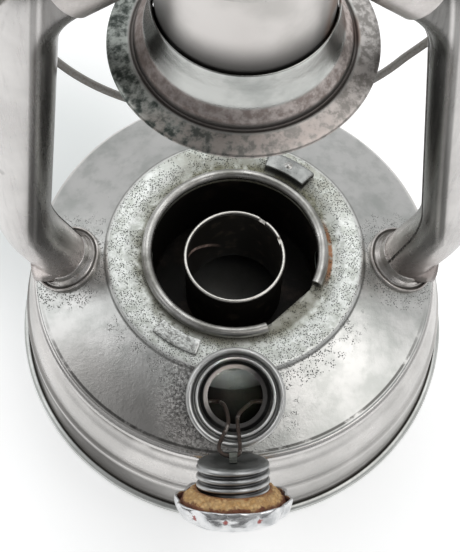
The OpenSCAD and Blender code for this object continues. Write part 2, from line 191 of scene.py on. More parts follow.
studio_grey = 0.7
eye_side = (0.0, -0.42, 0.907)
world = bpy.data.worlds.new("studio")
world.use_nodes = True
world.node_tree.nodes.clear()
bpy.context.scene.world = world
sky = Flow(world.node_tree).node("ShaderNodeTexCoord", out="Generated")
sky_x, sky_y, sky_z = axes_of(sky)
unlit = sky_z.below(0.25, 0.7) * sky_y.below(-0.1, 0.5) * (0.8 - 0.4 * sky_x.between(0.2, 0.8))
behind_eye = sky.node("ShaderNodeVectorMath", {"operation": "DOT_PRODUCT"}, {0: sky, 1: eye_side},
                      out="Value")
lit = (1 - unlit) * (1 - 0.85 * behind_eye.between(0.74, 0.97))
dark = sky.node("ShaderNodeBackground", None, {"Color": (0, 0, 0, 1), "Strength": 0.0})
grey = sky.node("ShaderNodeBackground", None, {"Color": (0.98, 0.99, 1.0, 1), "Strength": studio_grey})
white = sky.node("ShaderNodeBackground", None, {"Color": (1, 1, 1, 1), "Strength": 1.0})
dim = sky.node("ShaderNodeMixShader", None, {0: lit, 1: dark, 2: grey})
open_white = sky.node("ShaderNodeLightPath", out="Is Camera Ray")
shown = sky.node("ShaderNodeMixShader", None, {0: open_white, 1: dim, 2: white})
sky.node("ShaderNodeOutputWorld", None, {"Surface": shown})

middle = (0, 0, 0.08)
filler_mouth = (0, -0.0455, 0.049)
lamps = {
    "key": {"at": (0.52, -0.2, 1.1), "to": middle, "size": 0.9, "watts": 3.7, "tint": (1.0, 0.985, 0.965)},
    "fill": {"at": (-1.0, 0.3, 0.8), "to": middle, "size": 0.8, "watts": 2.2, "tint": (0.98, 0.99, 1.0)},
    "back": {"at": (0.1, 0.75, 1.1), "to": middle, "size": 0.9, "watts": 3.2, "tint": (0.98, 1.0, 1.0)},
    "front": {"at": (-0.0113, -0.235, 0.583), "to": filler_mouth, "size": 0.012, "watts": 0.0006,
              "tint": (0.93, 1.0, 0.95), "spread": 2.4},
}
for name, lamp in lamps.items():
    light = bpy.data.lights.new(name, "AREA")
    light.size = lamp["size"]
    light.energy = lamp["watts"]
    light.color = lamp["tint"]
    light.spread = math.radians(lamp.get("spread", 180))
    holder = bpy.data.objects.new(name, light)
    holder.location = lamp["at"]
    holder.rotation_mode = "QUATERNION"
    holder.rotation_quaternion = (Vector(lamp["to"]) - Vector(lamp["at"])).to_track_quat("-Z", "Y")
    bpy.context.scene.collection.objects.link(holder)

eye_place = Vector((-7.52, -172.14, 405.3)) * MM
eye_right = Vector((0.9999, -0.0046, 0.0147)).normalized()
eye_look = Vector((0.0152, 0.4219, -0.9065)).normalized()
eye_up = eye_right.cross(eye_look)
focal_px = 1200
photo_height_px = 552
film_mm = 36
camera = bpy.data.cameras.new("camera")
camera.sensor_width = film_mm
camera.lens = focal_px / photo_height_px * film_mm
camera.clip_start = 0.01
eye = bpy.data.objects.new("camera", camera)
eye_turn = Matrix((eye_right, eye_up, -eye_look)).transposed().to_4x4()
eye.matrix_world = Matrix.Translation(eye_place) @ eye_turn
bpy.context.scene.collection.objects.link(eye)
bpy.context.scene.camera = eye
bpy.context.scene.view_settings.view_transform = "Standard"


# The tank's pan: a shallow disc of tinned steel, its edge rolled into the bead that the lantern stands on.
# The wall is spun to steps and beads, and its foot is folded into the pan's bead.
def eased(points, soft, closed=True, step=1.6):
    """A line of points with its corners turned into short curves and its long runs split."""
    points = [np.array(p, float) for p in points]
    bent = []
    for i, p in enumerate(points):
        if not closed and i in (0, len(points) - 1):
            bent.append(p)
            continue
        back, ahead = points[i - 1] - p, points[(i + 1) % len(points)] - p
        reach = [min(soft / np.linalg.norm(v), 0.45) for v in (back, ahead)]
        start, end = p + back * reach[0], p + ahead * reach[1]
        for t in (0.0, 0.25, 0.5, 0.75, 1.0):
            bent.append((1 - t) ** 2 * start + 2 * t * (1 - t) * p + t ** 2 * end)
    split = []
    ends = bent[1:] + bent[:1] if closed else bent[1:]
    for p, q in zip(bent, ends):
        count = max(1, int(np.linalg.norm(q - p) / step))
        split += [p + (q - p) * k / count for k in range(count)]
    return split if closed else split + [bent[-1]]


def tidy_mesh(made):
    """Welds points that coincide and turns every face outwards."""
    loose = bmesh.new()
    loose.from_mesh(made.data)
    bmesh.ops.remove_doubles(loose, verts=loose.verts, dist=1e-7)
    bmesh.ops.recalc_face_normals(loose, faces=loose.faces)
    loose.to_mesh(made.data)
    loose.free()
    return made


def lathe(name, section, turns=180, start=0.0, sweep=360.0, place=None, ripple=None):
    """A piece spun about its axis from a closed section of (radius, height) points in millimetres.
    Ripple, where given, moves a point by its turn in degrees, radius and height."""
    whole = sweep >= 360
    rows = turns if whole else turns + 1
    points, faces, n = [], [], len(section)
    on_axis = [point[0] <= 1e-6 for point in section]
    for k in range(rows):
        turn = math.radians(start + sweep * k / turns)
        for r, z in section:
            if ripple:
                r, z = ripple(math.degrees(turn), r, z)
            points.append((r * math.cos(turn), r * math.sin(turn), z))
    for k in range(turns):
        a, b = k * n, (k + 1) % rows * n
        for i in range(n):
            j = (i + 1) % n
            if on_axis[i] and on_axis[j]:
                continue
            if on_axis[i]:
                faces.append((a + i, b + j, a + j))
            elif on_axis[j]:
                faces.append((a + i, b + i, a + j))
            else:
                faces.append((a + i, b + i, b + j, a + j))
    if not whole:
        faces += [tuple(reversed(range(n))), tuple(range((rows - 1) * n, rows * n))]
    if place is not None:
        points = [place @ Vector(p) for p in points]
    return tidy_mesh(solid(name, points, [tuple(reversed(f)) for f in faces]))


def mottle(place, scale, detail, rough=0.5):
    """Cloudy noise over a surface, at a scale given to the metre."""
    return place.node("ShaderNodeTexNoise", None,
                      {"Vector": place, "Scale": scale, "Detail": detail, "Roughness": rough})


def cells(place, scale, out="Distance"):
    """Scattered cells over a surface: the distance to a cell's middle, or the cell's own colour."""
    return place.node("ShaderNodeTexVoronoi", None, {"Vector": place, "Scale": scale}, out=out)


def aged_tin(name, tone, shade, rough, patch=45, pits=0.35, pit_mm=0.55, relief=0.04, grime_and_shade=None):
    """Tinned sheet steel gone dull: mottled patches, a fine grain, dark pits and worn-in dirt.
    Grime_and_shade, where given, returns a mask from a place: dirt, and in the wall's and the catch tab's
    finishes painted shade as well."""
    made, place = new_finish(name)
    clouds = mottle(place, patch, 5, 0.6)
    grain = mottle(place, 1900, 3)
    thick = mottle(place, 2.6 * patch, 4).between(0.72 - 0.45 * pits, 0.86 - 0.3 * pits)
    pit = cells(place, 1 / (pit_mm * MM)).below(0.12, 0.34) * thick
    tarnish = clouds.between(0.36, 0.68)
    colour = tarnish.mix(tone, shade)
    colour = (grain.between(0.35, 0.75) * 0.16).mix(colour, (0.32, 0.32, 0.31))
    colour = (pit * 0.65).mix(colour, (0.1, 0.1, 0.09))
    roughness = rough + 0.13 * tarnish + 0.1 * grain + 0.25 * pit
    if grime_and_shade:
        # The mask darkens with dirt, and with painted shade where the finish paints it.
        dirt = grime_and_shade(place)
        colour = (dirt * 0.85).mix(colour, (0.06, 0.055, 0.048))
        roughness = roughness + 0.3 * dirt
    bumps = grain * 0.35 - pit + clouds * 1.5
    close_finish(place, {"Base Color": colour, "Metallic": 1.0, "Roughness": roughness}, bumps, relief)
    return made


pan_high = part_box("tank_bottom")[1] / MM
base_r = pan_high.x
bead_top = pan_high.z
seam_z, plateau_z = (corner.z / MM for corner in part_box("tank_top"))
shoulder_z = seam_z + 0.9
sheet = 0.7
pan_low, pan_top = 1.8, 2.6
pan_section = [(0, pan_low), (base_r - 5.3, pan_low), (base_r - 4.9, 0.5), (base_r - 4.1, 0),
               (base_r - 1.5, 0), (base_r - 0.5, 0.5), (base_r, 1.5), (base_r, 2.7), (base_r - 0.5, 3.6),
               (base_r - 1.5, bead_top), (base_r - 3.9, bead_top), (base_r - 4.5, pan_top), (0, pan_top)]


def groove_dirt(place):
    """Dirt in the groove between bead and wall, and oil on the floor, which is clean under the drum."""
    x, y = axes_of(place)[:2]
    reach = distance(x, y)
    clean = reach.below(0.0286, 0.0294)
    return reach.below((base_r - 1.9) * MM, (base_r - 1.5) * MM) * (1.15 - 0.9 * clean)


pan = lathe("tank_pan", eased(pan_section, 0.8, step=3))
pan.data.materials.append(aged_tin("pan_tin", (0.68, 0.69, 0.67), (0.5, 0.51, 0.49), 0.26, grime_and_shade=groove_dirt))
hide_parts("tank_bottom")
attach(pan, "tank")

wall_line = [(2.2, 4 / shoulder_z), (2.9, 6.5 / shoulder_z), (3.5, 0.49), (4.7, 0.52), (4.8, 0.55),
             (5.3, 0.64), (6.6, 0.72), (8.3, 0.77), (9.3, 0.81), (9.6, 0.85), (9.3, 0.885), (8.5, 0.91),
             (8.2, 0.935), (8.5, 0.96), (9.5, seam_z / shoulder_z)]
wall_out = [(base_r - inset, share * shoulder_z) for inset, share in wall_line]
wall_in = [(r - sheet, z) for r, z in reversed(wall_out)]


def wall_dirt_and_shade(place):
    """Darker at the wall's foot, with painted shade low on its left and in its steps and cove, strongest on
    the left.
    """
    x, _, height = axes_of(place)
    smear = mottle(place, 160, 6).between(0.2, 0.55)
    wide = mottle(place, 22, 3).between(0.2, 0.42)
    left = x.below(-0.045, 0.01)
    foot = height.below(4.8 * MM, 6.4 * MM)
    # Painted shade: the low band, the step and the cove darken most on the left, away from the key.
    low = height.below(17 * MM, 20.5 * MM) * (0.12 + 0.8 * left * wide)
    step = height.within(20.8 * MM, 21.6 * MM, 22.6 * MM, 24.0 * MM) * (0.25 + 0.4 * left)
    cove = height.within(34.5 * MM, 36.5 * MM, 38.5 * MM, 40.5 * MM) * (0.3 + 0.55 * left) * smear
    return foot + (1 - foot) * (low + step + cove)


wall_tin = aged_tin("wall_tin", (0.7, 0.677, 0.658), (0.56, 0.545, 0.528), 0.2, patch=30, pits=0.2,
                    relief=0.03, grime_and_shade=wall_dirt_and_shade)
wall = lathe("tank_side", eased(wall_out + wall_in, 1.1))
wall.data.materials.append(wall_tin)
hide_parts("tank_wall")
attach(wall, "tank")


# The tank's top: a cone pressed from one sheet, with a stepped plateau dished round the burner's opening.
# Its rim is seamed to the wall, and it is cut for the filler and for the burner.
def cut(piece, cutter):
    """Takes the cutter's shape out of a piece."""
    knife = piece.modifiers.new("cut", "BOOLEAN")
    knife.operation = "DIFFERENCE"
    knife.solver = "EXACT"
    knife.object = cutter
    done = piece.evaluated_get(bpy.context.evaluated_depsgraph_get())
    mesh = bpy.data.meshes.new_from_object(done)
    piece.modifiers.clear()
    piece.data = mesh
    bpy.data.objects.remove(cutter)


def prism(name, outline, low, high, place):
    """A straight block with that outline between two heights, put in its place."""
    n = len(outline)
    points = [place @ Vector((x, y, z)) for z in (low, high) for x, y in outline]
    faces = [tuple(reversed(range(n))), tuple(range(n, 2 * n))]
    faces += [(i, (i + 1) % n, n + (i + 1) % n, n + i) for i in range(n)]
    return solid(name, points, faces, smooth=False)


def disc(radius, count=96, first=0.0, last=360.0):
    """Points round a circle, or round the part of it between two angles in degrees."""
    steps = count if last - first >= 360 else count - 1
    turns = [math.radians(first + (last - first) * k / steps) for k in range(count)]
    return [(radius * math.cos(turn), radius * math.sin(turn)) for turn in turns]


def bearing(x, y):
    """The turn of a point round an axis, in radians from the first coordinate."""
    return x.maths("ARCTAN2", y, x)


shoulder_r = base_r - 10.9
seam_r = base_r - 9.5
plateau_r = 41.1
step_w = 1.4
cone_tilt = math.radians(21.5)
cone_top = shoulder_z + (shoulder_r - plateau_r - step_w) * math.tan(cone_tilt)
dish = 1.2
plate_z = plateau_z - dish
foot_r = 54.9
collar_r = 28.7
collar_roll = 1.75
ledge_mid = (collar_r + collar_roll + plateau_r) / 2
opening_r = collar_r - 1.3
chord_x = collar_r - 2.7
chord_turn = Matrix.Rotation(math.radians(-47), 4, "Z")
half_chord = math.degrees(math.acos(chord_x / opening_r))
top_out = [(seam_r, seam_z), (seam_r - 0.4, seam_z + 0.6), (shoulder_r, shoulder_z),
           (plateau_r + step_w, cone_top), (plateau_r + 0.6, plateau_z - 0.3), (plateau_r - 0.3, plateau_z),
           (plateau_r - 4.9, plateau_z), (plateau_r - 7.9, plate_z + 0.2), (plateau_r - 9.2, plate_z),
           (collar_r - 4, plate_z)]
top_in = [(collar_r - 4, plate_z - sheet)] + [(r - sheet / 2, z - sheet) for r, z in top_out[8:0:-1]]
top_in += [(seam_r - sheet, seam_z)]

filler_y = 48.6
filler_z = shoulder_z + (shoulder_r - filler_y) * math.tan(cone_tilt)
filler_place = Matrix.Translation((0, -filler_y, filler_z)) @ Matrix.Rotation(cone_tilt, 4, "X")
neck_r = 14.3
burner_outline = disc(opening_r, 120, half_chord, 360 - half_chord)
burner_cut = prism("burner_cut", burner_outline, plate_z - 3, plate_z + 3, chord_turn)
filler_cut = prism("filler_cut", disc(neck_r - 0.3), -20, 20, filler_place)


def top_finish():
    """Plateau frosted and peppered with pits; cone satin, grainy by the filler, pitted along its edge;
    painted shade on the cone's front left, and painted shadows round the step's foot and under the catch tab.
    """
    made, place = new_finish("top_tin")
    x, y = axes_of(place)[:2]
    reach = distance(x, y)
    turn = bearing(x, y)
    clouds = mottle(place, 38, 6, 0.62)
    smears = mottle(place, 150, 6, 0.65)
    frost = mottle(place, 330, 5, 0.7)
    grain = mottle(place, 1100, 4, 0.7)

    def line(radius, half):
        """A narrow ring on the top, at a radius in millimetres."""
        return reach.near(radius * MM, half * 0.4 * MM, half * MM)

    flat = reach.below((plateau_r + 0.2) * MM, (plateau_r + 0.9) * MM)
    cone = 1 - flat
    well = reach.below((plateau_r - 9.5) * MM, (plateau_r - 5.5) * MM)
    corner = reach.below((collar_r + 1.9) * MM, (collar_r + 3.6) * MM)
    front = y.below(-0.04, -0.016)
    left = x.below(-0.02, 0.008)
    back_right = turn.within(0.2, 0.7, 1.9, 2.4)
    near_foot = distance(abs(x) - foot_r * MM, y).below(0.0115, 0.02)
    near_neck = distance(x, y + filler_y * MM).below(0.0155, 0.03)
    crowd = flat * smears.between(0.4, 0.54) * (1 - 0.35 * well) + cone * near_foot * frost.between(0.35, 0.6)
    edge = front * reach.below(0.045, 0.051) + near_neck * (0.25 + 0.35 * left)
    crowd = crowd + cone * (edge * 0.8 + 0.16) * frost.between(0.42, 0.6)
    speck = cells(place, 1900).below(0.2, 0.46) * (frost * 0.5 + crowd * 0.85).between(0.44, 0.64)

    colour = clouds.between(0.35, 0.7).mix((0.6, 0.595, 0.58), (0.47, 0.475, 0.46))
    colour = (smears.between(0.42, 0.66) * 0.45).mix(colour, (0.36, 0.375, 0.355))
    # Painted shade on the cone's front left, towards its outer edge.
    painted_shade = front * left * reach.between(0.043, 0.06)
    colour = (painted_shade * 0.55).mix(colour, (0.3, 0.275, 0.26))
    colour = flat.mix(colour, frost.between(0.36, 0.64).mix((0.55, 0.57, 0.53), (0.8, 0.815, 0.79)))
    stain = flat * (well * smears.between(0.34, 0.6) * 0.7 + back_right * 0.6 * frost.between(0.35, 0.58))
    colour = stain.mix(colour, (0.25, 0.245, 0.175))
    colour = (flat * corner * 0.7).mix(colour, (0.17, 0.16, 0.12))
    rust = line(collar_r + 2.6, 1.0) * turn.within(-0.42, -0.2, 0.2, 0.45) * frost.between(0.35, 0.5)
    colour = (rust * 0.9).mix(colour, (0.3, 0.13, 0.055))
    # Painted shadow: a dark line round the foot of the plateau's step.
    colour = (line(plateau_r + 1.5, 0.45) * 0.55).mix(colour, (0.12, 0.12, 0.11))
    colour = (line(plateau_r + 0.5, 0.4) * 0.6).mix(colour, (0.82, 0.82, 0.8))
    colour = (speck * 0.85).mix(colour, (0.05, 0.054, 0.05))
    soil = cone * near_neck * front * left * grain.between(0.4, 0.56)
    colour = (soil * 0.8).mix(colour, (0.05, 0.047, 0.045))
    seam = line(shoulder_r + 0.1, 0.6) * smears.between(0.34, 0.5) * y.below(-0.04, -0.01)
    colour = (seam * 0.85).mix(colour, (0.05, 0.048, 0.045))
    # Painted shadow: the plateau under the catch tab's raised inner edge is near black.
    tab_shadow = turn.within(0.8, 0.82, 1.25, 1.27) * line(ledge_mid - 1.2, 3.2)
    colour = (tab_shadow * 0.95).mix(colour, (0.02, 0.02, 0.018))

    coarse = cone * front * (0.1 + 0.9 * left) * (0.1 + 0.9 * near_neck)
    roughness = 0.24 + 0.16 * flat + 0.12 * clouds + 0.2 * stain + 0.2 * speck
    pebbles = grain * (0.2 + 0.4 * flat + 5.0 * coarse) - speck * 0.6
    lumps = pebbles + smears * 0.8 + clouds * 2 + frost * 0.5 * flat
    close_finish(place, {"Base Color": colour, "Metallic": 1.0 - 0.5 * stain, "Roughness": roughness},
                 lumps, 0.1)
    return made


top = lathe("tank_cone", eased(top_out + top_in, 0.7), turns=240)
cut(top, burner_cut)
cut(top, filler_cut)
top.data.materials.append(top_finish())
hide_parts("tank_top")
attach(top, "tank")


# The air chamber: a drum hung under the plateau, black with soot, that both side tubes blow into.
# The burner's socket tube stands in its middle, with a bright worn rim that has two notches.
def dress(node, finish):
    """Gives a solid its finish."""
    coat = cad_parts[node].data.materials
    coat.clear()
    coat.append(finish)


def soot(name, tone, dusting, rough, skin=None):
    """Black soot on steel with a dusting of paler ash, clean beyond the skin's radius where that is given."""
    made, place = new_finish(name)
    clouds = mottle(place, 120, 7, 0.65)
    grain = mottle(place, 1500, 4)
    colour = (clouds.between(0.5, 0.75) * 0.8).mix(tone, dusting)
    metal = 0.5
    if skin:
        x, y = axes_of(place)[:2]
        clean = distance(x, y).between((skin - 0.3) * MM, skin * MM)
        colour = clean.mix(colour, clouds.between(0.4, 0.66).mix((0.86, 0.92, 0.84), (0.5, 0.56, 0.5)))
        metal = 0.5 - 0.5 * clean
    roughness = rough + 0.2 * grain
    close_finish(place, {"Base Color": colour, "Metallic": metal, "Roughness": roughness},
                 grain + clouds, 0.08)
    return made


drum_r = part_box("chamber_drum")[1].y / MM
drum_soot = soot("drum_soot", (0.012, 0.0105, 0.009), (0.06, 0.042, 0.032), 0.45, skin=drum_r - 0.2)
dress("chamber_drum", drum_soot)

socket_low, socket_top = ((corner / MM).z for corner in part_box("burner_socket"))
socket_r = 16.5
socket_in = socket_r - 0.9
socket_section = [(socket_in, socket_low), (socket_r, socket_low), (socket_r, socket_top - 1.4),
                  (socket_r + 0.35, socket_top - 1), (socket_r + 0.35, socket_top - 0.4),
                  (socket_r - 0.1, socket_top), (socket_in + 0.3, socket_top), (socket_in, socket_top - 0.4)]
notch_turns = (20.6, 54.2)
notch_half = 1.2
notch_outline = [(socket_in - 1, -notch_half), (socket_in + 3, -notch_half), (socket_in + 3, notch_half),
                 (socket_in - 1, notch_half)]
socket = lathe("socket_tube", eased(socket_section, 0.25))
for notch_turn in notch_turns:
    notch_place = Matrix.Rotation(math.radians(notch_turn), 4, "Z")
    cut(socket, prism("notch", notch_outline, socket_top - 1.1, socket_top + 2, notch_place))


def socket_finish():
    """A worn bright rim over walls that are black inside the chamber, with a painted coppery glint streaked
    across the inside.
    """
    made, place = new_finish("socket_brass")
    x, y, height = axes_of(place)
    turn = bearing(x, y)
    clouds = mottle(place, 220, 6)
    grain = mottle(place, 1800, 3)
    bare = (height + clouds * 0.0012).between((socket_top - 1.0) * MM, (socket_top - 0.1) * MM)
    colour = bare.mix((0.03, 0.026, 0.022), (0.66, 0.64, 0.6))
    colour = (clouds.between(0.55, 0.72) * 0.5).mix(colour, (0.2, 0.16, 0.12))
    # Painted glint: a narrow coppery streak slanting across the inner wall, less metallic so that the lamps
    # light it.
    glint_line = (height - (turn - 1.745) * 0.015 + clouds * 0.001).near(0.027, 0.0005, 0.0014)
    coppery_glint = glint_line * turn.within(1.8, 2.1, 2.9, 3.0) * (0.35 + 0.65 * clouds.between(0.4, 0.55))
    colour = coppery_glint.mix(colour, (1.0, 0.72, 0.62))
    metal = 0.5 + 0.5 * bare - 0.45 * coppery_glint
    roughness = 0.42 - 0.16 * bare + 0.12 * grain - 0.12 * coppery_glint
    close_finish(place, {"Base Color": colour, "Metallic": metal, "Roughness": roughness}, grain, 0.04)
    return made


socket.data.materials.append(socket_finish())
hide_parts("burner_socket")
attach(socket, "tank")


# The collar: a C of rolled sheet round the burner's opening that the burner's flange locks under.
# Beside it on the plateau stand a bent catch tab and a low rest pad, both pressed from sheet.
def collar_dirt(place):
    """Dirt in the corner between the collar and the plateau."""
    return axes_of(place)[2].below((plate_z + 0.3) * MM, (plate_z + 1.2) * MM)


def tab_underside_shade(place):
    """Painted shade under the tab's overhang."""
    return axes_of(place)[2].below((plateau_z + 0.9) * MM, (plateau_z + 2.1) * MM)


collar_tin = aged_tin("collar_tin", (0.5, 0.49, 0.47), (0.24, 0.235, 0.215), 0.22, patch=110, pits=0.5,
                      pit_mm=0.45, relief=0.05, grime_and_shade=collar_dirt)
dress("collar_ring", collar_tin)

tab_tin = aged_tin("tab_tin", (0.36, 0.365, 0.355), (0.22, 0.225, 0.22), 0.32, patch=140, pits=0.8,
                   pit_mm=0.4, grime_and_shade=tab_underside_shade)
tab_out, tab_in, tab_rise = ledge_mid + 2.95, ledge_mid - 3.25, 2.9
tab_start, tab_sweep = 46.5, 25
tab_section = [(tab_out, plateau_z), (tab_out, plateau_z + 2.2), (tab_out - 0.6, plateau_z + 2.6),
               (tab_in, plateau_z + tab_rise), (tab_in, plateau_z + 2), (tab_out - 0.9, plateau_z + 1.6),
               (tab_out - 0.9, plateau_z)]
tab = lathe("catch_tab_sheet", eased(tab_section, 0.35, step=0.8), turns=36, start=tab_start, sweep=tab_sweep)
tab.data.materials.append(tab_tin)
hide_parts("catch_tab")
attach(tab, "tank")

dimple_r = 1.5
dimple_section = [(0, 0.5), (0.35, 0.46), (0.75, 0.3), (1.1, 0.1), (dimple_r, 0.0), (dimple_r, -0.3),
                  (0, -0.3)]
dimple_turn = Matrix.Rotation(math.radians(tab_start + 13), 4, "Z")
dimple_place = dimple_turn @ Matrix.Translation(((tab_out + tab_in) / 2, 0, plateau_z + 2.72))
dimple_line = eased(dimple_section, 0.2, closed=False, step=0.4)
dimple = lathe("catch_tab_dimple", dimple_line, turns=32, place=dimple_place)
dimple.data.materials.append(collar_tin)
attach(dimple, "tank")


def pad_finish():
    """Coarse pebbled tin with dark hollows, painted shade on its low sides, worn bright at one end."""
    made, place = new_finish("pad_tin")
    x, _, height = axes_of(place)
    grain = mottle(place, 900, 5)
    worn = x.between(-0.0135, -0.012)
    hollow = cells(place, 1100).between(0.4, 0.75) * grain.between(0.4, 0.55) * (1 - worn)
    colour = (hollow * 0.7).mix((0.6, 0.61, 0.59), (0.16, 0.16, 0.15))
    colour = (worn * 0.8).mix(colour, (0.84, 0.84, 0.82))
    # Painted shade: the pad's low sides are near black.
    side = height.below((plateau_z + 0.55) * MM, (plateau_z + 1.0) * MM)
    colour = (side * 0.8).mix(colour, (0.06, 0.06, 0.055))
    roughness = 0.3 + 0.15 * hollow
    close_finish(place, {"Base Color": colour, "Metallic": 1.0, "Roughness": roughness},
                 grain - 0.8 * hollow, 0.16)
    return made


pad_out, pad_in = ledge_mid + 2.55, ledge_mid - 2.55
pad_start, pad_sweep = -133, 24
pad_section = [(pad_out, plateau_z - 0.3), (pad_out, plateau_z + 0.9), (pad_out - 0.4, plateau_z + 1.2),
               (pad_in, plateau_z + 1.2), (pad_in, plateau_z + 0.5), (pad_out - 1.8, plateau_z + 0.4),
               (pad_out - 1.8, plateau_z - 0.3)]
pad = lathe("rest_pad_sheet", eased(pad_section, 0.35, step=0.8), turns=36, start=pad_start, sweep=pad_sweep)
pad.data.materials.append(pad_finish())
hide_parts("rest_pad")
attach(pad, "tank")


# The filler's neck: a turned ring with a rolled rim, a screw thread in its bore and a ledge at the bottom,
# soldered into the cone. Its inside is dark with oil and with painted shade.
rim_r = 15.5
bore_r = 11.25
ledge_r = 8.8
thread_pitch = 2.6
thread_depth = 0.85
thread_low, thread_high = -5.2, 2.4
thread_fade = 0.8
bore_steps = 48
neck_foot, ledge_top = -6.6, -5.6
rim_line = eased([(neck_r, neck_foot), (neck_r, 2.4), (rim_r - 0.4, 2.6), (rim_r, 3.2), (rim_r, 4),
                  (rim_r - 0.4, 4.6), (rim_r - 1.0, 4.9), (rim_r - 1.6, 4.6), (rim_r - 2.0, 3.6),
                  (rim_r - 2.6, 3.2), (rim_r - 2.9, 3.6), (rim_r - 3.4, 3.8), (rim_r - 3.9, 3.4),
                  (rim_r - 4.2, 2.6)], 0.25, closed=False, step=0.6)
bore_len = thread_high - thread_low
bore_line = [(bore_r, thread_high - bore_len * k / bore_steps) for k in range(bore_steps + 1)]
neck_section = rim_line + bore_line + [(bore_r + 0.3, ledge_top), (ledge_r, ledge_top), (ledge_r, neck_foot)]


def neck_thread(turn, r, z):
    """Cuts the screw thread into the bore's wall."""
    if not (r == bore_r and thread_low <= z <= thread_high):
        return r, z
    fade = min(1.0, (thread_high - z) / thread_fade, (z - thread_low) / thread_fade)
    wave = 0.5 + 0.5 * math.cos(2 * math.pi * (z / thread_pitch - turn / 360))
    return r + thread_depth * fade * wave ** 0.7, z


def tilted(rise, ahead, lean):
    """Coordinates along a leaning axis and across it, from those up and ahead of its foot."""
    return rise * math.cos(lean) + ahead * math.sin(lean), ahead * math.cos(lean) - rise * math.sin(lean)


def neck_finish():
    """Bright rim and crests, hollows dark with oil and painted shade, a painted shadow in the rim's groove,
    and a painted glint on the ledge at its back left.
    """
    made, place = new_finish("neck_zinc")
    x, y, z = axes_of(place)
    along, slope = tilted(z - filler_z * MM, y + filler_y * MM, -cone_tilt)
    reach = distance(x, slope)
    clouds = mottle(place, 180, 6)
    grain = mottle(place, 1800, 3)
    # The bore is dark with oil and with painted shade; only the thread's crests stay pale.
    crest = reach.below((bore_r + 0.2) * MM, (bore_r + 0.6) * MM)
    rim = along.between(2.6 * MM, 3.4 * MM)
    # Painted shadow in the groove between the rim's two edges.
    groove_shade = reach.near((rim_r - 2.45) * MM, 0.0003, 0.0008)
    inside = along.between(-5.5 * MM, -5.2 * MM)
    ledge = (1 - inside) * reach.below(0.0099, 0.0104)
    colour = (crest * inside).mix((0.06, 0.06, 0.058), (0.5, 0.5, 0.49))
    colour = rim.mix(colour, (0.56, 0.56, 0.55))
    colour = (rim * groove_shade * 0.9).mix(colour, (0.05, 0.05, 0.048))
    colour = (clouds.between(0.45, 0.7) * 0.35).mix(colour, (0.3, 0.3, 0.29))
    # Painted glint: the ledge is pale at its back left and dark grey elsewhere, and less metallic.
    ledge_glint = (slope - x).between(0.0, 0.011)
    colour = ledge.mix(colour, ledge_glint.mix((0.2, 0.19, 0.185), (0.82, 0.74, 0.71)))
    metal = 1.0 - 0.7 * ledge
    roughness = 0.24 + 0.14 * clouds + 0.1 * grain
    close_finish(place, {"Base Color": colour, "Metallic": metal, "Roughness": roughness},
                 grain + clouds, 0.03)
    return made


neck = lathe("filler_ring", neck_section, place=filler_place, ripple=neck_thread)
neck.data.materials.append(neck_finish())
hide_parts("filler_neck")
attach(neck, "tank")


# The cap's wire: a hairpin of rusty iron wire, with its ends spread under the filler's ledge,
# that passes through the staple on the cap's plug.
def sweep(name, path, radius, sides=16):
    """A round bar of one radius along a path of points in millimetres."""
    path = [Vector(p) for p in path]
    along = [(path[min(i + 1, len(path) - 1)] - path[max(i - 1, 0)]).normalized() for i in range(len(path))]
    side = along[0].orthogonal().normalized()
    points, faces = [], []
    for p, d in zip(path, along):
        side = (side - d * side.dot(d)).normalized()
        other = d.cross(side)
        for k in range(sides):
            turn = 2 * math.pi * k / sides
            points.append(p + radius * (side * math.cos(turn) + other * math.sin(turn)))
    for i in range(len(path) - 1):
        for k in range(sides):
            m = (k + 1) % sides
            faces.append((i * sides + k, i * sides + m, (i + 1) * sides + m, (i + 1) * sides + k))
    faces += [tuple(reversed(range(sides))), tuple(range((len(path) - 1) * sides, len(path) * sides))]
    return solid(name, points, faces)


def in_neck(x, up_slope, along):
    """A point given across the neck, up its slope and along its axis."""
    return filler_place @ Vector((x, up_slope, along))


def rusty_wire(name, tone, bright, share):
    """Iron wire with brown scale, worn bright in places."""
    made, place = new_finish(name)
    grain = mottle(place, 2200, 3)
    worn = mottle(place, 260, 6, 0.65).between(0.72 - share, 0.86 - share)
    colour = worn.mix(tone, bright)
    colour = (grain.between(0.5, 0.7) * 0.4).mix(colour, (0.16, 0.08, 0.045))
    metal = 0.55 + 0.45 * worn
    roughness = 0.5 - 0.18 * worn + 0.12 * grain
    close_finish(place, {"Base Color": colour, "Metallic": metal, "Roughness": roughness}, grain, 0.05)
    return made


cap_at = Vector((-1, -(shoulder_r + 15.5), filler_z + 0.4))
cap_lean = math.radians(58.3)
cap_place = Matrix.Translation(cap_at) @ Matrix.Rotation(-cap_lean, 4, "X")
plug_len = 11
hook = cap_place @ Vector((0, 0, plug_len + 1.3))
hook_wire = 0.62
left_leg = [in_neck(-9.8, -1.7, -8.3), in_neck(-5.4, -1.7, -8.3), in_neck(-4.4, -2, -6),
            in_neck(-3.4, -2.6, -3), in_neck(-2.4, -5.6, 0.5), in_neck(-2.2, -8.5, 3.8),
            in_neck(-4.4, -12.1, 7.6)]
hairpin = [hook + Vector((-4.6, 2.6, -0.9)), hook + Vector((-2.6, 0, 0)), hook + Vector((2.2, 0, 0))]
right_leg = [in_neck(1.1, -12.7, 8.1), in_neck(0.5, -8.5, 3.8), in_neck(0.6, -5.6, 0.5),
             in_neck(2.5, -3.8, -2), in_neck(4.6, -2.4, -6), in_neck(5.6, -1.7, -8.3),
             in_neck(9.8, -1.7, -8.3)]
wire_line = eased(left_leg + hairpin + right_leg, 3.4, closed=False, step=0.6)
wire = sweep("hairpin_wire", wire_line, hook_wire)
wire.data.materials.append(rusty_wire("wire_rust", (0.05, 0.038, 0.032), (0.5, 0.46, 0.43), 0.16))
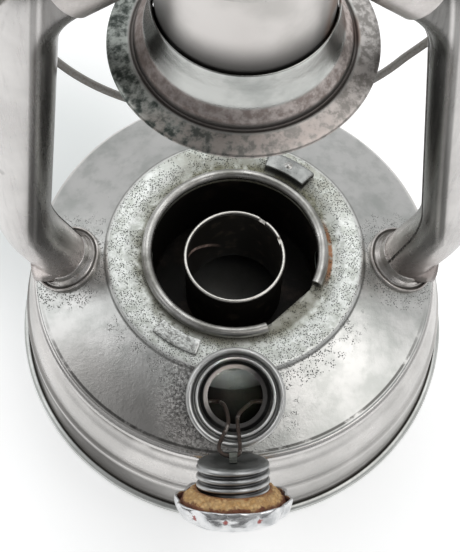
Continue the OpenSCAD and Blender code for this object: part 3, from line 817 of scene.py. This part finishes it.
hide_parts("cap_wire")
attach(wire, "cap_wire")


# The cap's plug: a dark zinc casting with a rounded screw thread and a flat end.
# A grey strap, riveted on that end, is the staple that the wire passes through.
cap_r = 18.1
plug_r = 11.1
plug_steps = 56
plug_low, plug_high = 3.0, 9.9
flange_r, flange_low, flange_top = cap_r - 4.6, -5, -3.1
plug_line = [(plug_r, plug_low + (plug_high - plug_low) * k / plug_steps) for k in range(plug_steps + 1)]
plug_section = [(0, flange_low), (flange_r, flange_low), (flange_r, flange_top), (plug_r - 0.6, flange_top)]
plug_section += plug_line
plug_section += [(plug_r - 0.35, 10.5), (plug_r - 0.9, 10.9), (plug_r - 1.3, plug_len),
                 (plug_r - 4, plug_len), (plug_r - 4.4, plug_len - 0.3), (0, plug_len - 0.3)]


def plug_thread(turn, r, z):
    """Rolls the rounded screw thread into the plug's side."""
    if not (r == plug_r and plug_low <= z <= plug_high):
        return r, z
    wave = 0.5 + 0.5 * math.cos(2 * math.pi * (z / thread_pitch - turn / 360))
    return r - (1 - wave) ** 1.6, z


def cap_axes(place):
    """Coordinates across the cap, up it and along its axis."""
    x, y, z = axes_of(place)
    along, up = tilted(z - cap_at.z * MM, y - cap_at.y * MM, cap_lean)
    return x - cap_at.x * MM, up, along


def plug_finish():
    """Dull zinc, smooth and bright on the thread's crests, dark between them and on the flat end."""
    made, place = new_finish("plug_zinc")
    across, up, along = cap_axes(place)
    clouds = mottle(place, 170, 6)
    grain = mottle(place, 1500, 4)
    crest = distance(across, up).between((plug_r - 0.7) * MM, (plug_r - 0.1) * MM)
    end = along.between((plug_len - 0.6) * MM, (plug_len - 0.3) * MM)
    colour = clouds.between(0.35, 0.7).mix((0.5, 0.505, 0.5), (0.36, 0.365, 0.365))
    colour = crest.mix((0.1, 0.1, 0.1), colour)
    flat_end = clouds.between(0.4, 0.6).mix((0.13, 0.135, 0.13), (0.24, 0.245, 0.24))
    colour = (end * (1 - crest)).mix(colour, flat_end)
    roughness = 0.2 + 0.14 * clouds + 0.1 * grain + 0.1 * end
    close_finish(place, {"Base Color": colour, "Metallic": 0.95, "Roughness": roughness},
                 grain * 0.5 + clouds, 0.05)
    return made


plug = lathe("screw_plug", plug_section, place=cap_place, ripple=plug_thread)
plug.data.materials.append(plug_finish())
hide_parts("cap_plug")
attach(plug, "cap")

strap_t = 0.5
strap_half = 1.2
strap_out = [(-3.3, 0), (-3.3, strap_t), (-1.7, strap_t), (-1.55, 1.6), (-0.9, 2.45), (0, 2.7), (0.9, 2.45),
             (1.55, 1.6), (1.7, strap_t), (3.3, strap_t), (3.3, 0)]
strap_in = [(1.2, 0), (1.05, 1.5), (0.6, 2.0), (0, 2.15), (-0.6, 2.0), (-1.05, 1.5), (-1.2, 0)]
strap_line = [(y, plug_len + z) for y, z in strap_out + strap_in]
strap_turn = Matrix(((0, 0, 1, 0), (1, 0, 0, 0), (0, 1, 0, 0), (0, 0, 0, 1)))
strap_tin = aged_tin("strap_tin", (0.2, 0.21, 0.185), (0.1, 0.106, 0.095), 0.36, patch=200, pits=0.6)
strap_edge = eased(strap_line, 0.3, step=0.5)
strap = prism("staple_strap", strap_edge, -strap_half, strap_half, cap_place @ strap_turn)
strap.data.materials.append(strap_tin)
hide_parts("cap_staple")
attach(strap, "cap")


# The washer: a thick ring of pressed cork, torn and oil-stained,
# squeezed between the plug's flange and the filler's neck when the cap is on.
cork_section = [(plug_r - 0.5, -3), (cap_r - 2.2, -3), (cap_r - 2.1, -0.9), (cap_r - 2.8, 0.1),
                (plug_r + 2.2, 2.2), (plug_r + 0.8, 2.7), (plug_r - 0.5, 2.7)]


def cork_crumble(turn, r, z):
    """Crumbles the washer's outside and tears its edge."""
    spot = Vector((r * math.cos(math.radians(turn)), r * math.sin(math.radians(turn)), z))
    worn = noise.noise(spot * 0.3) * 0.8 + noise.noise(spot * 0.9) * 0.35 + noise.noise(spot * 2.4) * 0.15
    share = min(1.0, max(0.0, (r - plug_r) / 1.5))
    return r + (worn - 0.35) * share, z + worn * 0.8 * share


def cork_finish():
    """Orange-brown cork with dark grains, and red-brown where its torn edge meets the cap."""
    made, place = new_finish("cork")
    across, up, along = cap_axes(place)
    reach = distance(across, up)
    crumbs = cells(place, 900)
    tint = axes_of(cells(place, 900, out="Color"))[0]
    clouds = mottle(place, 230, 7, 0.7)
    fray = mottle(place, 800, 5, 0.7)
    colour = tint.mix((0.58, 0.34, 0.13), (0.72, 0.5, 0.25))
    colour = (clouds.between(0.5, 0.7) * 0.7).mix(colour, (0.3, 0.13, 0.05))
    torn = (reach + fray * 0.003 + clouds * 0.001).between(0.0166, 0.0174)
    colour = (torn * 0.92).mix(colour, (0.12, 0.022, 0.016))
    by_plug = (reach - clouds * 0.002).below(0.0106, 0.0114)
    colour = (by_plug * 0.7).mix(colour, (0.24, 0.08, 0.03))
    low = (along + fray * 0.002).below(0.0002, 0.0012)
    colour = (low * 0.75).mix(colour, (0.12, 0.03, 0.02))
    colour = (crumbs.between(0.3, 0.6) * 0.3).mix(colour, (0.2, 0.1, 0.04))
    close_finish(place, {"Base Color": colour, "Roughness": 0.8}, clouds * 2 - crumbs, 0.35)
    return made


cork_line = eased(cork_section, 0.5, step=0.5)
cork = lathe("cork_washer", cork_line, turns=240, place=cap_place, ripple=cork_crumble)
cork.data.materials.append(cork_finish())
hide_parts("cap_gasket")
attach(cork, "cap")


# The cap's shell: spun aluminium with a scalloped skirt for the fingers, crimped round the washer.
# Flecks of red paint are left in its hollows.
lobes = 10
hollow_turn = -98.5
fleck_drop = 3
shell_low, shell_floor = -7.6, -6.9
shell_line = [(0, shell_low), (8, shell_low), (cap_r - 5, -6.9), (cap_r - 2, -4.8), (cap_r - 0.9, -1.6),
              (cap_r - 0.7, -0.2), (cap_r - 1.1, 0.15), (cap_r - 1.6, -0.1), (cap_r - 1.9, -1.0),
              (cap_r - 2.8, -4.4), (cap_r - 5.6, -6.2), (8, shell_floor), (0, shell_floor)]
shell_section = eased(shell_line, 0.6, step=0.6)


def scallop(turn, r, z):
    """Swells the skirt out into round lobes with soft hollows, and waves its rim."""
    share = min(1.0, max(0.0, (r - cap_r + 4.5) / 2.5)) * min(1.0, max(0.0, (z + 9) / 3.0))
    lobe = math.sqrt(math.sin(math.radians((turn - hollow_turn) * lobes / 2)) ** 2 + 0.06)
    spot = Vector((math.cos(math.radians(turn)) * 2, math.sin(math.radians(turn)) * 2, z * 0.25))
    dent = noise.noise(spot * 1.3) * 0.35 + noise.noise(spot * 3.1) * 0.12
    return r + share * (1.5 * lobe - 0.95 + dent), z + share * (0.8 * lobe + dent - 0.6) * (z > -2.5)


def shell_finish():
    """Bright soft aluminium, scuffed, with grey residue and red paint left in three of the hollows."""
    made, place = new_finish("shell_aluminium")
    across, up, along = cap_axes(place)
    turn = bearing(across, up)
    clouds = mottle(place, 190, 6)
    grain = mottle(place, 1400, 4)
    colour = clouds.between(0.4, 0.7).mix((0.74, 0.74, 0.745), (0.48, 0.49, 0.5))
    flecks = []
    for hollow in (-1, 0, 1):
        beside = (turn - math.radians(hollow_turn + hollow * 360 / lobes)) * cap_r * MM
        off = distance(beside, along + fleck_drop * MM)
        flecks.append((off + grain * 0.0016).below(0.0012, 0.0019))
    fleck = sum(flecks)
    colour = (fleck * 0.9).mix(colour, (0.4, 0.05, 0.035))
    roughness = 0.14 + 0.16 * clouds + 0.06 * grain
    close_finish(place, {"Base Color": colour, "Metallic": 1.0 - 0.8 * fleck, "Roughness": roughness},
                 clouds * 4 + grain * 0.5, 0.08)
    return made


shell = lathe("scalloped_shell", shell_section, turns=336, place=cap_place, ripple=scallop)
shell.data.materials.append(shell_finish())
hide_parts("cap_shell")
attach(shell, "cap")


# The side tubes: drawn from sheet with a crimped seam on their inner side, they rise from the drum,
# lean inwards and bend over into the crown's arms. They carry the draught down to the burner.
def trace(start, heading, moves):
    """A path in the tubes' plane: runs of a length, and bends of a radius to a heading from the vertical."""
    x, z = start
    line = [(x, z)]
    for length, bend_to in moves:
        if bend_to is None:
            count = max(2, int(length / 3))
            runs = [length * k / count for k in range(1, count + 1)]
            line += [(x + run * math.sin(heading), z + run * math.cos(heading)) for run in runs]
        else:
            count = max(6, int(abs(bend_to - heading) * length / 1.5))
            headings = [heading + (bend_to - heading) * k / count for k in range(1, count + 1)]
            line += [(x + length * (math.cos(now) - math.cos(heading)),
                      z + length * (math.sin(heading) - math.sin(now))) for now in headings]
            heading = bend_to
        x, z = line[-1]
    return line


tube_r = 8.6
foot_z = shoulder_z + (shoulder_r - foot_r) * math.tan(cone_tilt)
tube_lean = math.radians(-8)
arm_lean = math.radians(37 - 90)
foot_depth = 5
tube_foot = (foot_r - foot_depth * math.sin(cone_tilt), foot_z - foot_depth * math.cos(cone_tilt))
foot_run, foot_bend, long_run, top_bend, top_run = 18.56, 44, 84.05, 30, 4.79
duct_bend, duct_run = 13, 9
tube_moves = [(foot_depth + foot_run, None), (foot_bend, tube_lean), (long_run, None), (top_bend, arm_lean),
              (top_run, None)]
tube_line = trace(tube_foot, cone_tilt, tube_moves)
duct_line = trace(tube_foot, cone_tilt + math.pi, [(duct_bend, 1.5 * math.pi), (duct_run, None)])
on_upper_run = Vector((65.0, 82.95))
seam_turns = {"left": (-40.0, -28.0), "right": (34.0, 8.0)}
seam_half = 0.32
seam_rise = 0.18
seam_sunk = -0.25
seam_tooth = 0.25


def tube_finish():
    """Satin tin with draw marks, pale and a little pink, with painted dark reflections in bands along its
    inner side, a painted glint low on its foot, and dirty at its foot.
    """
    made, place = new_finish("tube_tin")
    x, y, z = axes_of(place)
    clouds = mottle(place, 34, 5, 0.6)
    smears = mottle(place, 130, 6, 0.65)
    long_way = place.node("ShaderNodeMapping", None, {"Vector": place, "Scale": (1, 1, 0.06)})
    marks = mottle(long_way, 900, 3)
    grain = mottle(place, 1900, 3)
    colour = clouds.between(0.38, 0.68).mix((0.64, 0.62, 0.605), (0.53, 0.512, 0.5))
    colour = (marks.between(0.5, 0.72) * 0.22).mix(colour, (0.38, 0.37, 0.36))
    leaning = on_upper_run.x * MM - (z - on_upper_run.y * MM) * math.tan(-tube_lean)
    rising = foot_r * MM + (z - foot_z * MM) * math.tan(cone_tilt)
    inward = (place.maths("MINIMUM", leaning, rising) - abs(x)) / (tube_r * MM)
    foot = z.below((foot_z + 6) * MM, (foot_z + 26) * MM)
    above = z.between((foot_z + 16) * MM, (foot_z + 40) * MM)
    # Painted reflections: a narrow dark band and a broad dark band along each tube's inner side, darker on
    # the right tube and faint near the foot.
    reflection_bands = inward.near(0.36, 0.05, 0.13) * 0.55 + inward.between(0.5, 0.62) * (0.6 + 0.3 * marks)
    reflection_tone = x.between(-0.01, 0.01).mix((0.13, 0.125, 0.12), (0.055, 0.056, 0.052))
    colour = (reflection_bands * (0.15 + 0.85 * above)).mix(colour, reflection_tone)
    dirt = foot * smears.between(0.42, 0.66)
    colour = (foot * 0.6).mix(colour, (0.72, 0.64, 0.61))
    colour = (dirt * 0.5).mix(colour, (0.12, 0.1, 0.09))
    smoky = foot * x.between(0.0, 0.01) * y.below(-0.0075, -0.0015)
    colour = (smoky * 0.7).mix(colour, (0.16, 0.13, 0.12))
    colour = (smears.between(0.66, 0.74) * 0.45).mix(colour, (0.2, 0.19, 0.18))
    # Painted glint: a pale pinkish, less metallic patch low on each foot's inner side.
    shine = y.near(-0.0035, 0.0012, 0.0045) * grain.between(0.3, 0.6)
    glint = z.below((foot_z + 5) * MM, (foot_z + 17) * MM) * inward.between(0.1, 0.5) * shine
    colour = (glint * 0.85).mix(colour, (0.95, 0.86, 0.83))
    roughness = 0.17 + 0.1 * clouds + 0.08 * marks + 0.2 * dirt
    close_finish(place, {"Base Color": colour, "Metallic": 1.0 - 0.6 * glint, "Roughness": roughness},
                 grain * 0.3 + marks * 0.3 + clouds * 1.6 + smears * 0.3 * foot, 0.06)
    return made


def crimped_seam(side, hand):
    """A low folded strip along a tube's inner side, toothed by the crimping wheel near its foot."""
    fine = [Vector((hand * x, 0, z)) for x, z in eased(tube_line, 0.4, closed=False, step=0.45)]
    low_turn, high_turn = seam_turns[side]
    points, faces = [], []
    for i in range(1, len(fine) - 1):
        d = (fine[i + 1] - fine[i - 1]).normalized()
        inward = Vector((-hand * d.z, 0, hand * d.x)).normalized()
        share = min(1.0, i / (len(fine) * 0.33))
        turn = math.radians(low_turn * (1 - share) + high_turn * share)
        edge = seam_half + seam_tooth * (1 if i % 4 < 2 else -1) * (1 - share)
        for across, rise in ((-seam_half, seam_sunk), (-seam_half, seam_rise * 0.6), (0, seam_rise),
                             (edge, seam_rise), (edge, seam_sunk)):
            swing = turn + across / tube_r
            out = inward * math.cos(swing) + Vector((0, -1, 0)) * math.sin(swing)
            points.append(fine[i] + out * (tube_r + rise))
    rows = len(fine) - 2
    for i in range(rows - 1):
        faces += [(i * 5 + k, i * 5 + (k + 1) % 5, i * 5 + 5 + (k + 1) % 5, i * 5 + 5 + k) for k in range(5)]
    faces += [(4, 3, 2, 1, 0), tuple((rows - 1) * 5 + k for k in range(5))]
    return tidy_mesh(solid(side + "_tube_seam", points, faces, smooth=False))


tube_tin = tube_finish()
seam_tin = aged_tin("seam_tin", (0.05, 0.045, 0.042), (0.2, 0.185, 0.175), 0.3, patch=900, pits=0.4)
for side, hand in (("left", -1), ("right", 1)):
    whole_line = [Vector((hand * x, 0, z)) for x, z in list(reversed(duct_line))[:-1] + tube_line]
    tube = sweep(side + "_air_tube", whole_line, tube_r, sides=64)
    tube.data.materials.append(tube_tin)
    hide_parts(side + "_tube")
    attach(tube, "tank")
    seam = crimped_seam(side, hand)
    seam.data.materials.append(seam_tin)
    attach(seam, "tank")


# The foot rings: rolled rings of tinned sheet that close the cone round each tube.
# They are flooded with solder, which flares up the tube.
ring_r = tube_r + 3.1
ring_low = -3.5
ring_section = eased([(tube_r - 0.4, ring_low), (ring_r, ring_low), (ring_r, 0.8), (ring_r - 0.3, 1.3),
                      (ring_r - 0.75, 1.25), (ring_r - 1.05, 0.7), (tube_r + 1.3, 1.3), (tube_r + 0.55, 2.8),
                      (tube_r + 0.15, 4.8), (tube_r - 0.4, 5.4)], 0.25, step=0.5)


def solder_flow(turn, r, z):
    """Lets the solder run unevenly round the ring."""
    spot = Vector((math.cos(math.radians(turn)) * 3, math.sin(math.radians(turn)) * 3, z * 0.4))
    uneven = noise.noise(spot) * 0.2
    return r + (uneven * 0.4 if z > 0 else 0), z + (uneven if z > 1.0 else 0)


def ring_dirt(place):
    """Dirt in the groove between the ring's thin edge and the flare of its solder."""
    x, y, z = axes_of(place)
    slope = tilted(z - foot_z * MM, abs(x) - foot_r * MM, cone_tilt)[1]
    return distance(slope, y).near((ring_r - 1.15) * MM, 0.0002, 0.0006)


ring_tin = aged_tin("ring_tin", (0.64, 0.61, 0.59), (0.36, 0.335, 0.31), 0.2, patch=150, pits=0.6,
                    relief=0.06, grime_and_shade=ring_dirt)
for side, hand in (("left", -1), ("right", 1)):
    ring_place = Matrix.Translation((hand * foot_r, 0, foot_z)) @ Matrix.Rotation(hand * cone_tilt, 4, "Y")
    ring = lathe(side + "_solder_ring", ring_section, turns=120, place=ring_place, ripple=solder_flow)
    ring.data.materials.append(ring_tin)
    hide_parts(side + "_foot_ring")
    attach(ring, "tank")


# The arms: drawn sleeves pushed over the tubes' tops and flared against the crown tube, held by domed rivets.
# On each tube's shoulder a turned boss is the ear that the bail swings in.
sleeve_slide = 4.4
sleeve_end = 17.5
tube_tail = 12
tube_end_x, tube_end_z = tube_line[-1]
arm_foot = (tube_end_x - tube_tail * math.sin(arm_lean), tube_end_z - tube_tail * math.cos(arm_lean))


def drawn_up(node, finish):
    """A copy of a solid with the sleeves' ends moved along the arms, to where the tubes' bend runs out."""
    made = bpy.data.objects.new(node + "_drawn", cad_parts[node].data.copy())
    bpy.context.scene.collection.objects.link(made)
    for point in made.data.vertices:
        hand = math.copysign(1, point.co.x)
        way = Vector((hand * math.sin(arm_lean), 0, math.cos(arm_lean)))
        along = (point.co / MM - Vector((hand * arm_foot[0], 0, arm_foot[1]))).dot(way)
        if along < sleeve_end:
            point.co += way * sleeve_slide * MM
    made.data.materials.clear()
    made.data.materials.append(finish)
    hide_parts(node)
    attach(made, "tank")


arm_tin = aged_tin("arm_tin", (0.64, 0.605, 0.59), (0.46, 0.43, 0.41), 0.22, patch=60, pits=0.3)
rivet_tin = aged_tin("rivet_tin", (0.76, 0.74, 0.72), (0.5, 0.48, 0.46), 0.2, patch=300, pits=0.3)
drawn_up("left_arm", arm_tin)
drawn_up("right_arm", arm_tin)
drawn_up("arm_rivets", rivet_tin)
dress("bail_ears", aged_tin("ear_tin", (0.7, 0.69, 0.66), (0.48, 0.46, 0.42), 0.32, patch=150, pits=0.6))


# The bail: a carrying handle of drawn steel wire, gone dull.
# It is cranked to hang behind the tubes, and its ends are turned into the ears.
ear_low, ear_high = (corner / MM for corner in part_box("bail_ears"))
bail_wire = 1.1
bail_r = 52
bail_set = 3.5
bail_x = ear_high.x + 0.5 + bail_wire
bail_y = (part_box("bail")[1] / MM).y - bail_wire
bail_bows = {1: 1.1, -1: -0.9}
pin_reach = 3.4
ear_z = (ear_low.z + ear_high.z) / 2
loop_z = ear_z - 14
loop_steps = 60


def bail_half(hand):
    """One side of the bail: the turn at which its leg meets the loop, and its pin, crank and bowed leg."""
    away = hand * bail_x + bail_set
    turn = math.atan2(ear_z - loop_z, abs(away)) - math.acos(bail_r / math.hypot(away, ear_z - loop_z))
    touch = (-bail_set + hand * bail_r * math.cos(turn), bail_y, loop_z + bail_r * math.sin(turn))
    leg = []
    for share in (0.2, 0.4, 0.6, 0.8):
        bow = 4 * share * (1 - share) * bail_bows[hand]
        leg.append((hand * bail_x * (1 - share) + touch[0] * share + bow, bail_y,
                    ear_z * (1 - share) + touch[2] * share - bow))
    crank = [(hand * (ear_high.x - pin_reach), 0, ear_z), (hand * bail_x, 0, ear_z),
             (hand * bail_x, bail_y, ear_z)]
    return turn, [*crank, *leg, touch]


right_turn, right_side = bail_half(1)
left_turn, left_side = bail_half(-1)
first, last = math.degrees(right_turn), -180 - math.degrees(left_turn)
loop_turns = [math.radians(first + (last - first) * k / loop_steps) for k in range(1, loop_steps)]
loop = [(-bail_set + bail_r * math.cos(turn), bail_y, loop_z + bail_r * math.sin(turn))
        for turn in loop_turns]
bail_line = eased(right_side + loop + list(reversed(left_side)), 2.2, closed=False, step=1.5)
bail = sweep("bail_handle", bail_line, bail_wire)
bail.data.materials.append(rusty_wire("bail_steel", (0.3, 0.29, 0.27), (0.42, 0.41, 0.39), 0.05))
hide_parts("bail")
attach(bail, "bail")


# The crown: a fixed tube between the arms, with a ring plate in its top that guides the chimney.
# A coil spring under that plate presses the hood down.
crown_r = (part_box("crown_tube")[1] / MM).x
hood_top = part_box("hood")[1].z / MM


def crown_finish():
    """Warm satin tin with upright draw marks, a painted dark reflection round its foot and on its lower left,
    and rusty where the right arm joins.
    """
    made, place = new_finish("crown_tin")
    x, _, z = axes_of(place)
    clouds = mottle(place, 60, 5)
    long_way = place.node("ShaderNodeMapping", None, {"Vector": place, "Scale": (1, 1, 0.05)})
    marks = mottle(long_way, 700, 3)
    grain = mottle(place, 1900, 3)
    colour = clouds.between(0.38, 0.68).mix((0.66, 0.63, 0.61), (0.52, 0.5, 0.48))
    # Painted reflection: the crown is near black just above the hood.
    foot = z.below((hood_top + 0.5) * MM, (hood_top + 12) * MM)
    colour = (foot * 0.92).mix(colour, (0.06, 0.058, 0.055))
    # Painted reflection: a dark patch on the crown's lower left.
    crown_dark_reflection = x.below(-0.0205, -0.013) * z.below((hood_top + 8) * MM, (hood_top + 22) * MM)
    colour = (crown_dark_reflection * 0.8).mix(colour, (0.05, 0.048, 0.045))
    rust = x.between(0.0165, 0.0195) * clouds.between(0.35, 0.55)
    colour = (rust * 0.75).mix(colour, (0.22, 0.11, 0.06))
    roughness = 0.3 + 0.1 * clouds + 0.25 * rust + 0.2 * foot
    close_finish(place, {"Base Color": colour, "Metallic": 1.0, "Roughness": roughness},
                 grain * 0.4 + marks * 0.12, 0.03)
    return made


crown_tin = crown_finish()
dress("crown_tube", crown_tin)
dress("crown_plate", crown_tin)

spring_low, spring_high = (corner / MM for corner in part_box("hood_spring"))
spring_wire = 0.7
spring_curls = 7
curl_steps = 32
spring_r = spring_high.x - spring_wire
spring_h = spring_high.z - spring_low.z
coil = []
for k in range(spring_curls * curl_steps + 1):
    turn = 2 * math.pi * k / curl_steps
    rise = spring_wire + (spring_h - 2 * spring_wire) * k / (spring_curls * curl_steps)
    coil.append((spring_r * math.cos(turn), spring_r * math.sin(turn), spring_low.z + rise))
spring = sweep("coil_spring", coil, spring_wire, sides=10)
spring.data.materials.append(rusty_wire("spring_steel", (0.3, 0.29, 0.28), (0.55, 0.54, 0.52), 0.2))
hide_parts("hood_spring")
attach(spring, "tank")
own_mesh(spring)


# The hood: a spun skirt with a flat brim, a double bead and a cove that slides outside the crown tube.
# Inside it a pierced plate carries the chimney; both are black with soot.
hood_low, hood_high = (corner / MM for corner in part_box("hood"))
brim_r = hood_high.x
brim_z = hood_low.z + 0.5
cove_r = crown_r + 0.4
hood_out = [(brim_r, -0.5), (brim_r, 0.1), (brim_r - 0.5, 0.5), (27.8, 1.6), (27.2, 1.7), (26.7, 1.4),
            (26.2, 1.5), (26.1, 2.4), (25.8, 3.5), (25.1, 4.4), (24.3, 5.3), (23.5, 6.7), (22.9, 8.6),
            (22.4, 11), (22.1, 13.6), (cove_r + 0.6, hood_top - brim_z)]
hood_in = [(cove_r, hood_top - brim_z), (21.5, 13.4), (21.8, 10.8), (22.3, 8.3), (22.9, 6.3), (23.8, 4.8),
           (25.3, 3.2), (25.3, 1.2), (27.6, 0.9), (brim_r - 1, -0.1), (brim_r - 0.6, -0.5)]
hood_section = [(r, brim_z + z) for r, z in eased(hood_out + hood_in, 0.8, step=0.9)]


def hood_finish():
    """Brim mottled dark grey-green, cove bright with a painted dark reflection on its left, a pinkish bead
    with painted shade on its left, and a painted shadow in the bead's groove.
    """
    made, place = new_finish("hood_tin")
    x, y = axes_of(place)[:2]
    reach = distance(x, y)
    clouds = mottle(place, 70, 6, 0.65)
    smears = mottle(place, 430, 6, 0.65)
    grain = mottle(place, 1700, 3)
    brim = reach.between(0.0272, 0.0282)
    skirt = 1 - brim
    left = x.below(-0.02, 0.012)
    front = y.below(-0.028, -0.012)
    colour = clouds.between(0.38, 0.7).mix((0.54, 0.545, 0.525), (0.38, 0.39, 0.375))
    blotch = (smears * 0.6 + clouds * 0.4).between(0.42, 0.6)
    tarnish = blotch.mix((0.06, 0.07, 0.063), (0.42, 0.445, 0.415))
    plain = smears.between(0.4, 0.62).mix((0.26, 0.245, 0.23), (0.56, 0.53, 0.51))
    colour = brim.mix(colour, left.mix(plain, tarnish))
    colour = (brim * front * smears.between(0.4, 0.6) * 0.55).mix(colour, (0.3, 0.235, 0.21))
    rusty = bearing(x, y).near(0.05, 0.08, 0.22) * skirt * clouds.between(0.3, 0.5)
    colour = (rusty * 0.75).mix(colour, (0.2, 0.11, 0.075))
    # Painted reflection: the cove's left is near black by the crown.
    cove_dark_reflection = x.below(-0.0215, -0.013) * skirt * reach.below(0.0232, 0.0246)
    colour = (cove_dark_reflection * 0.85).mix(colour, (0.05, 0.047, 0.043))
    bead = reach.within(0.0236, 0.0241, 0.0258, 0.0262)
    pinkish = smears.between(0.38, 0.62).mix((0.36, 0.29, 0.265), (0.74, 0.66, 0.63))
    colour = (bead * 0.85).mix(colour, pinkish)
    # Painted shade on the bead's left.
    colour = (bead * left * 0.6).mix(colour, (0.15, 0.12, 0.11))
    # Painted shadow in the groove under the bead.
    groove_shade = reach.within(0.0256, 0.0263, 0.0271, 0.0279)
    colour = (groove_shade * 0.85).mix(colour, (0.07, 0.055, 0.05))
    roughness = 0.17 + 0.12 * clouds + 0.14 * brim + 0.3 * groove_shade + 0.25 * bead
    close_finish(place, {"Base Color": colour, "Metallic": 1.0, "Roughness": roughness},
                 grain * 0.4 + clouds * 1.2 + smears * 0.5 * brim, 0.06)
    return made


hood = lathe("hood_skirt", hood_section)
hood.data.materials.append(hood_finish())
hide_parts("hood")
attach(hood, "hood")

chimney_soot = soot("chimney_soot", (0.05, 0.045, 0.04), (0.2, 0.17, 0.14), 0.5)
dress("hood_plate", chimney_soot)
dress("inner_chimney", chimney_soot)


# The canopy: a vented cap of tinned sheet, joined to the chimney's top by a ring, that keeps rain out.
# A wire eye on it holds the loose ring that the hood is lifted by.
canopy_tin = aged_tin("canopy_tin", (0.66, 0.645, 0.62), (0.46, 0.45, 0.43), 0.26, patch=50, pits=0.5)
lift_steel = rusty_wire("lift_steel", (0.36, 0.34, 0.31), (0.62, 0.61, 0.58), 0.25)
dress("canopy", canopy_tin)
dress("canopy_ring", canopy_tin)
dress("lift_eye", lift_steel)
dress("lift_ring", lift_steel)
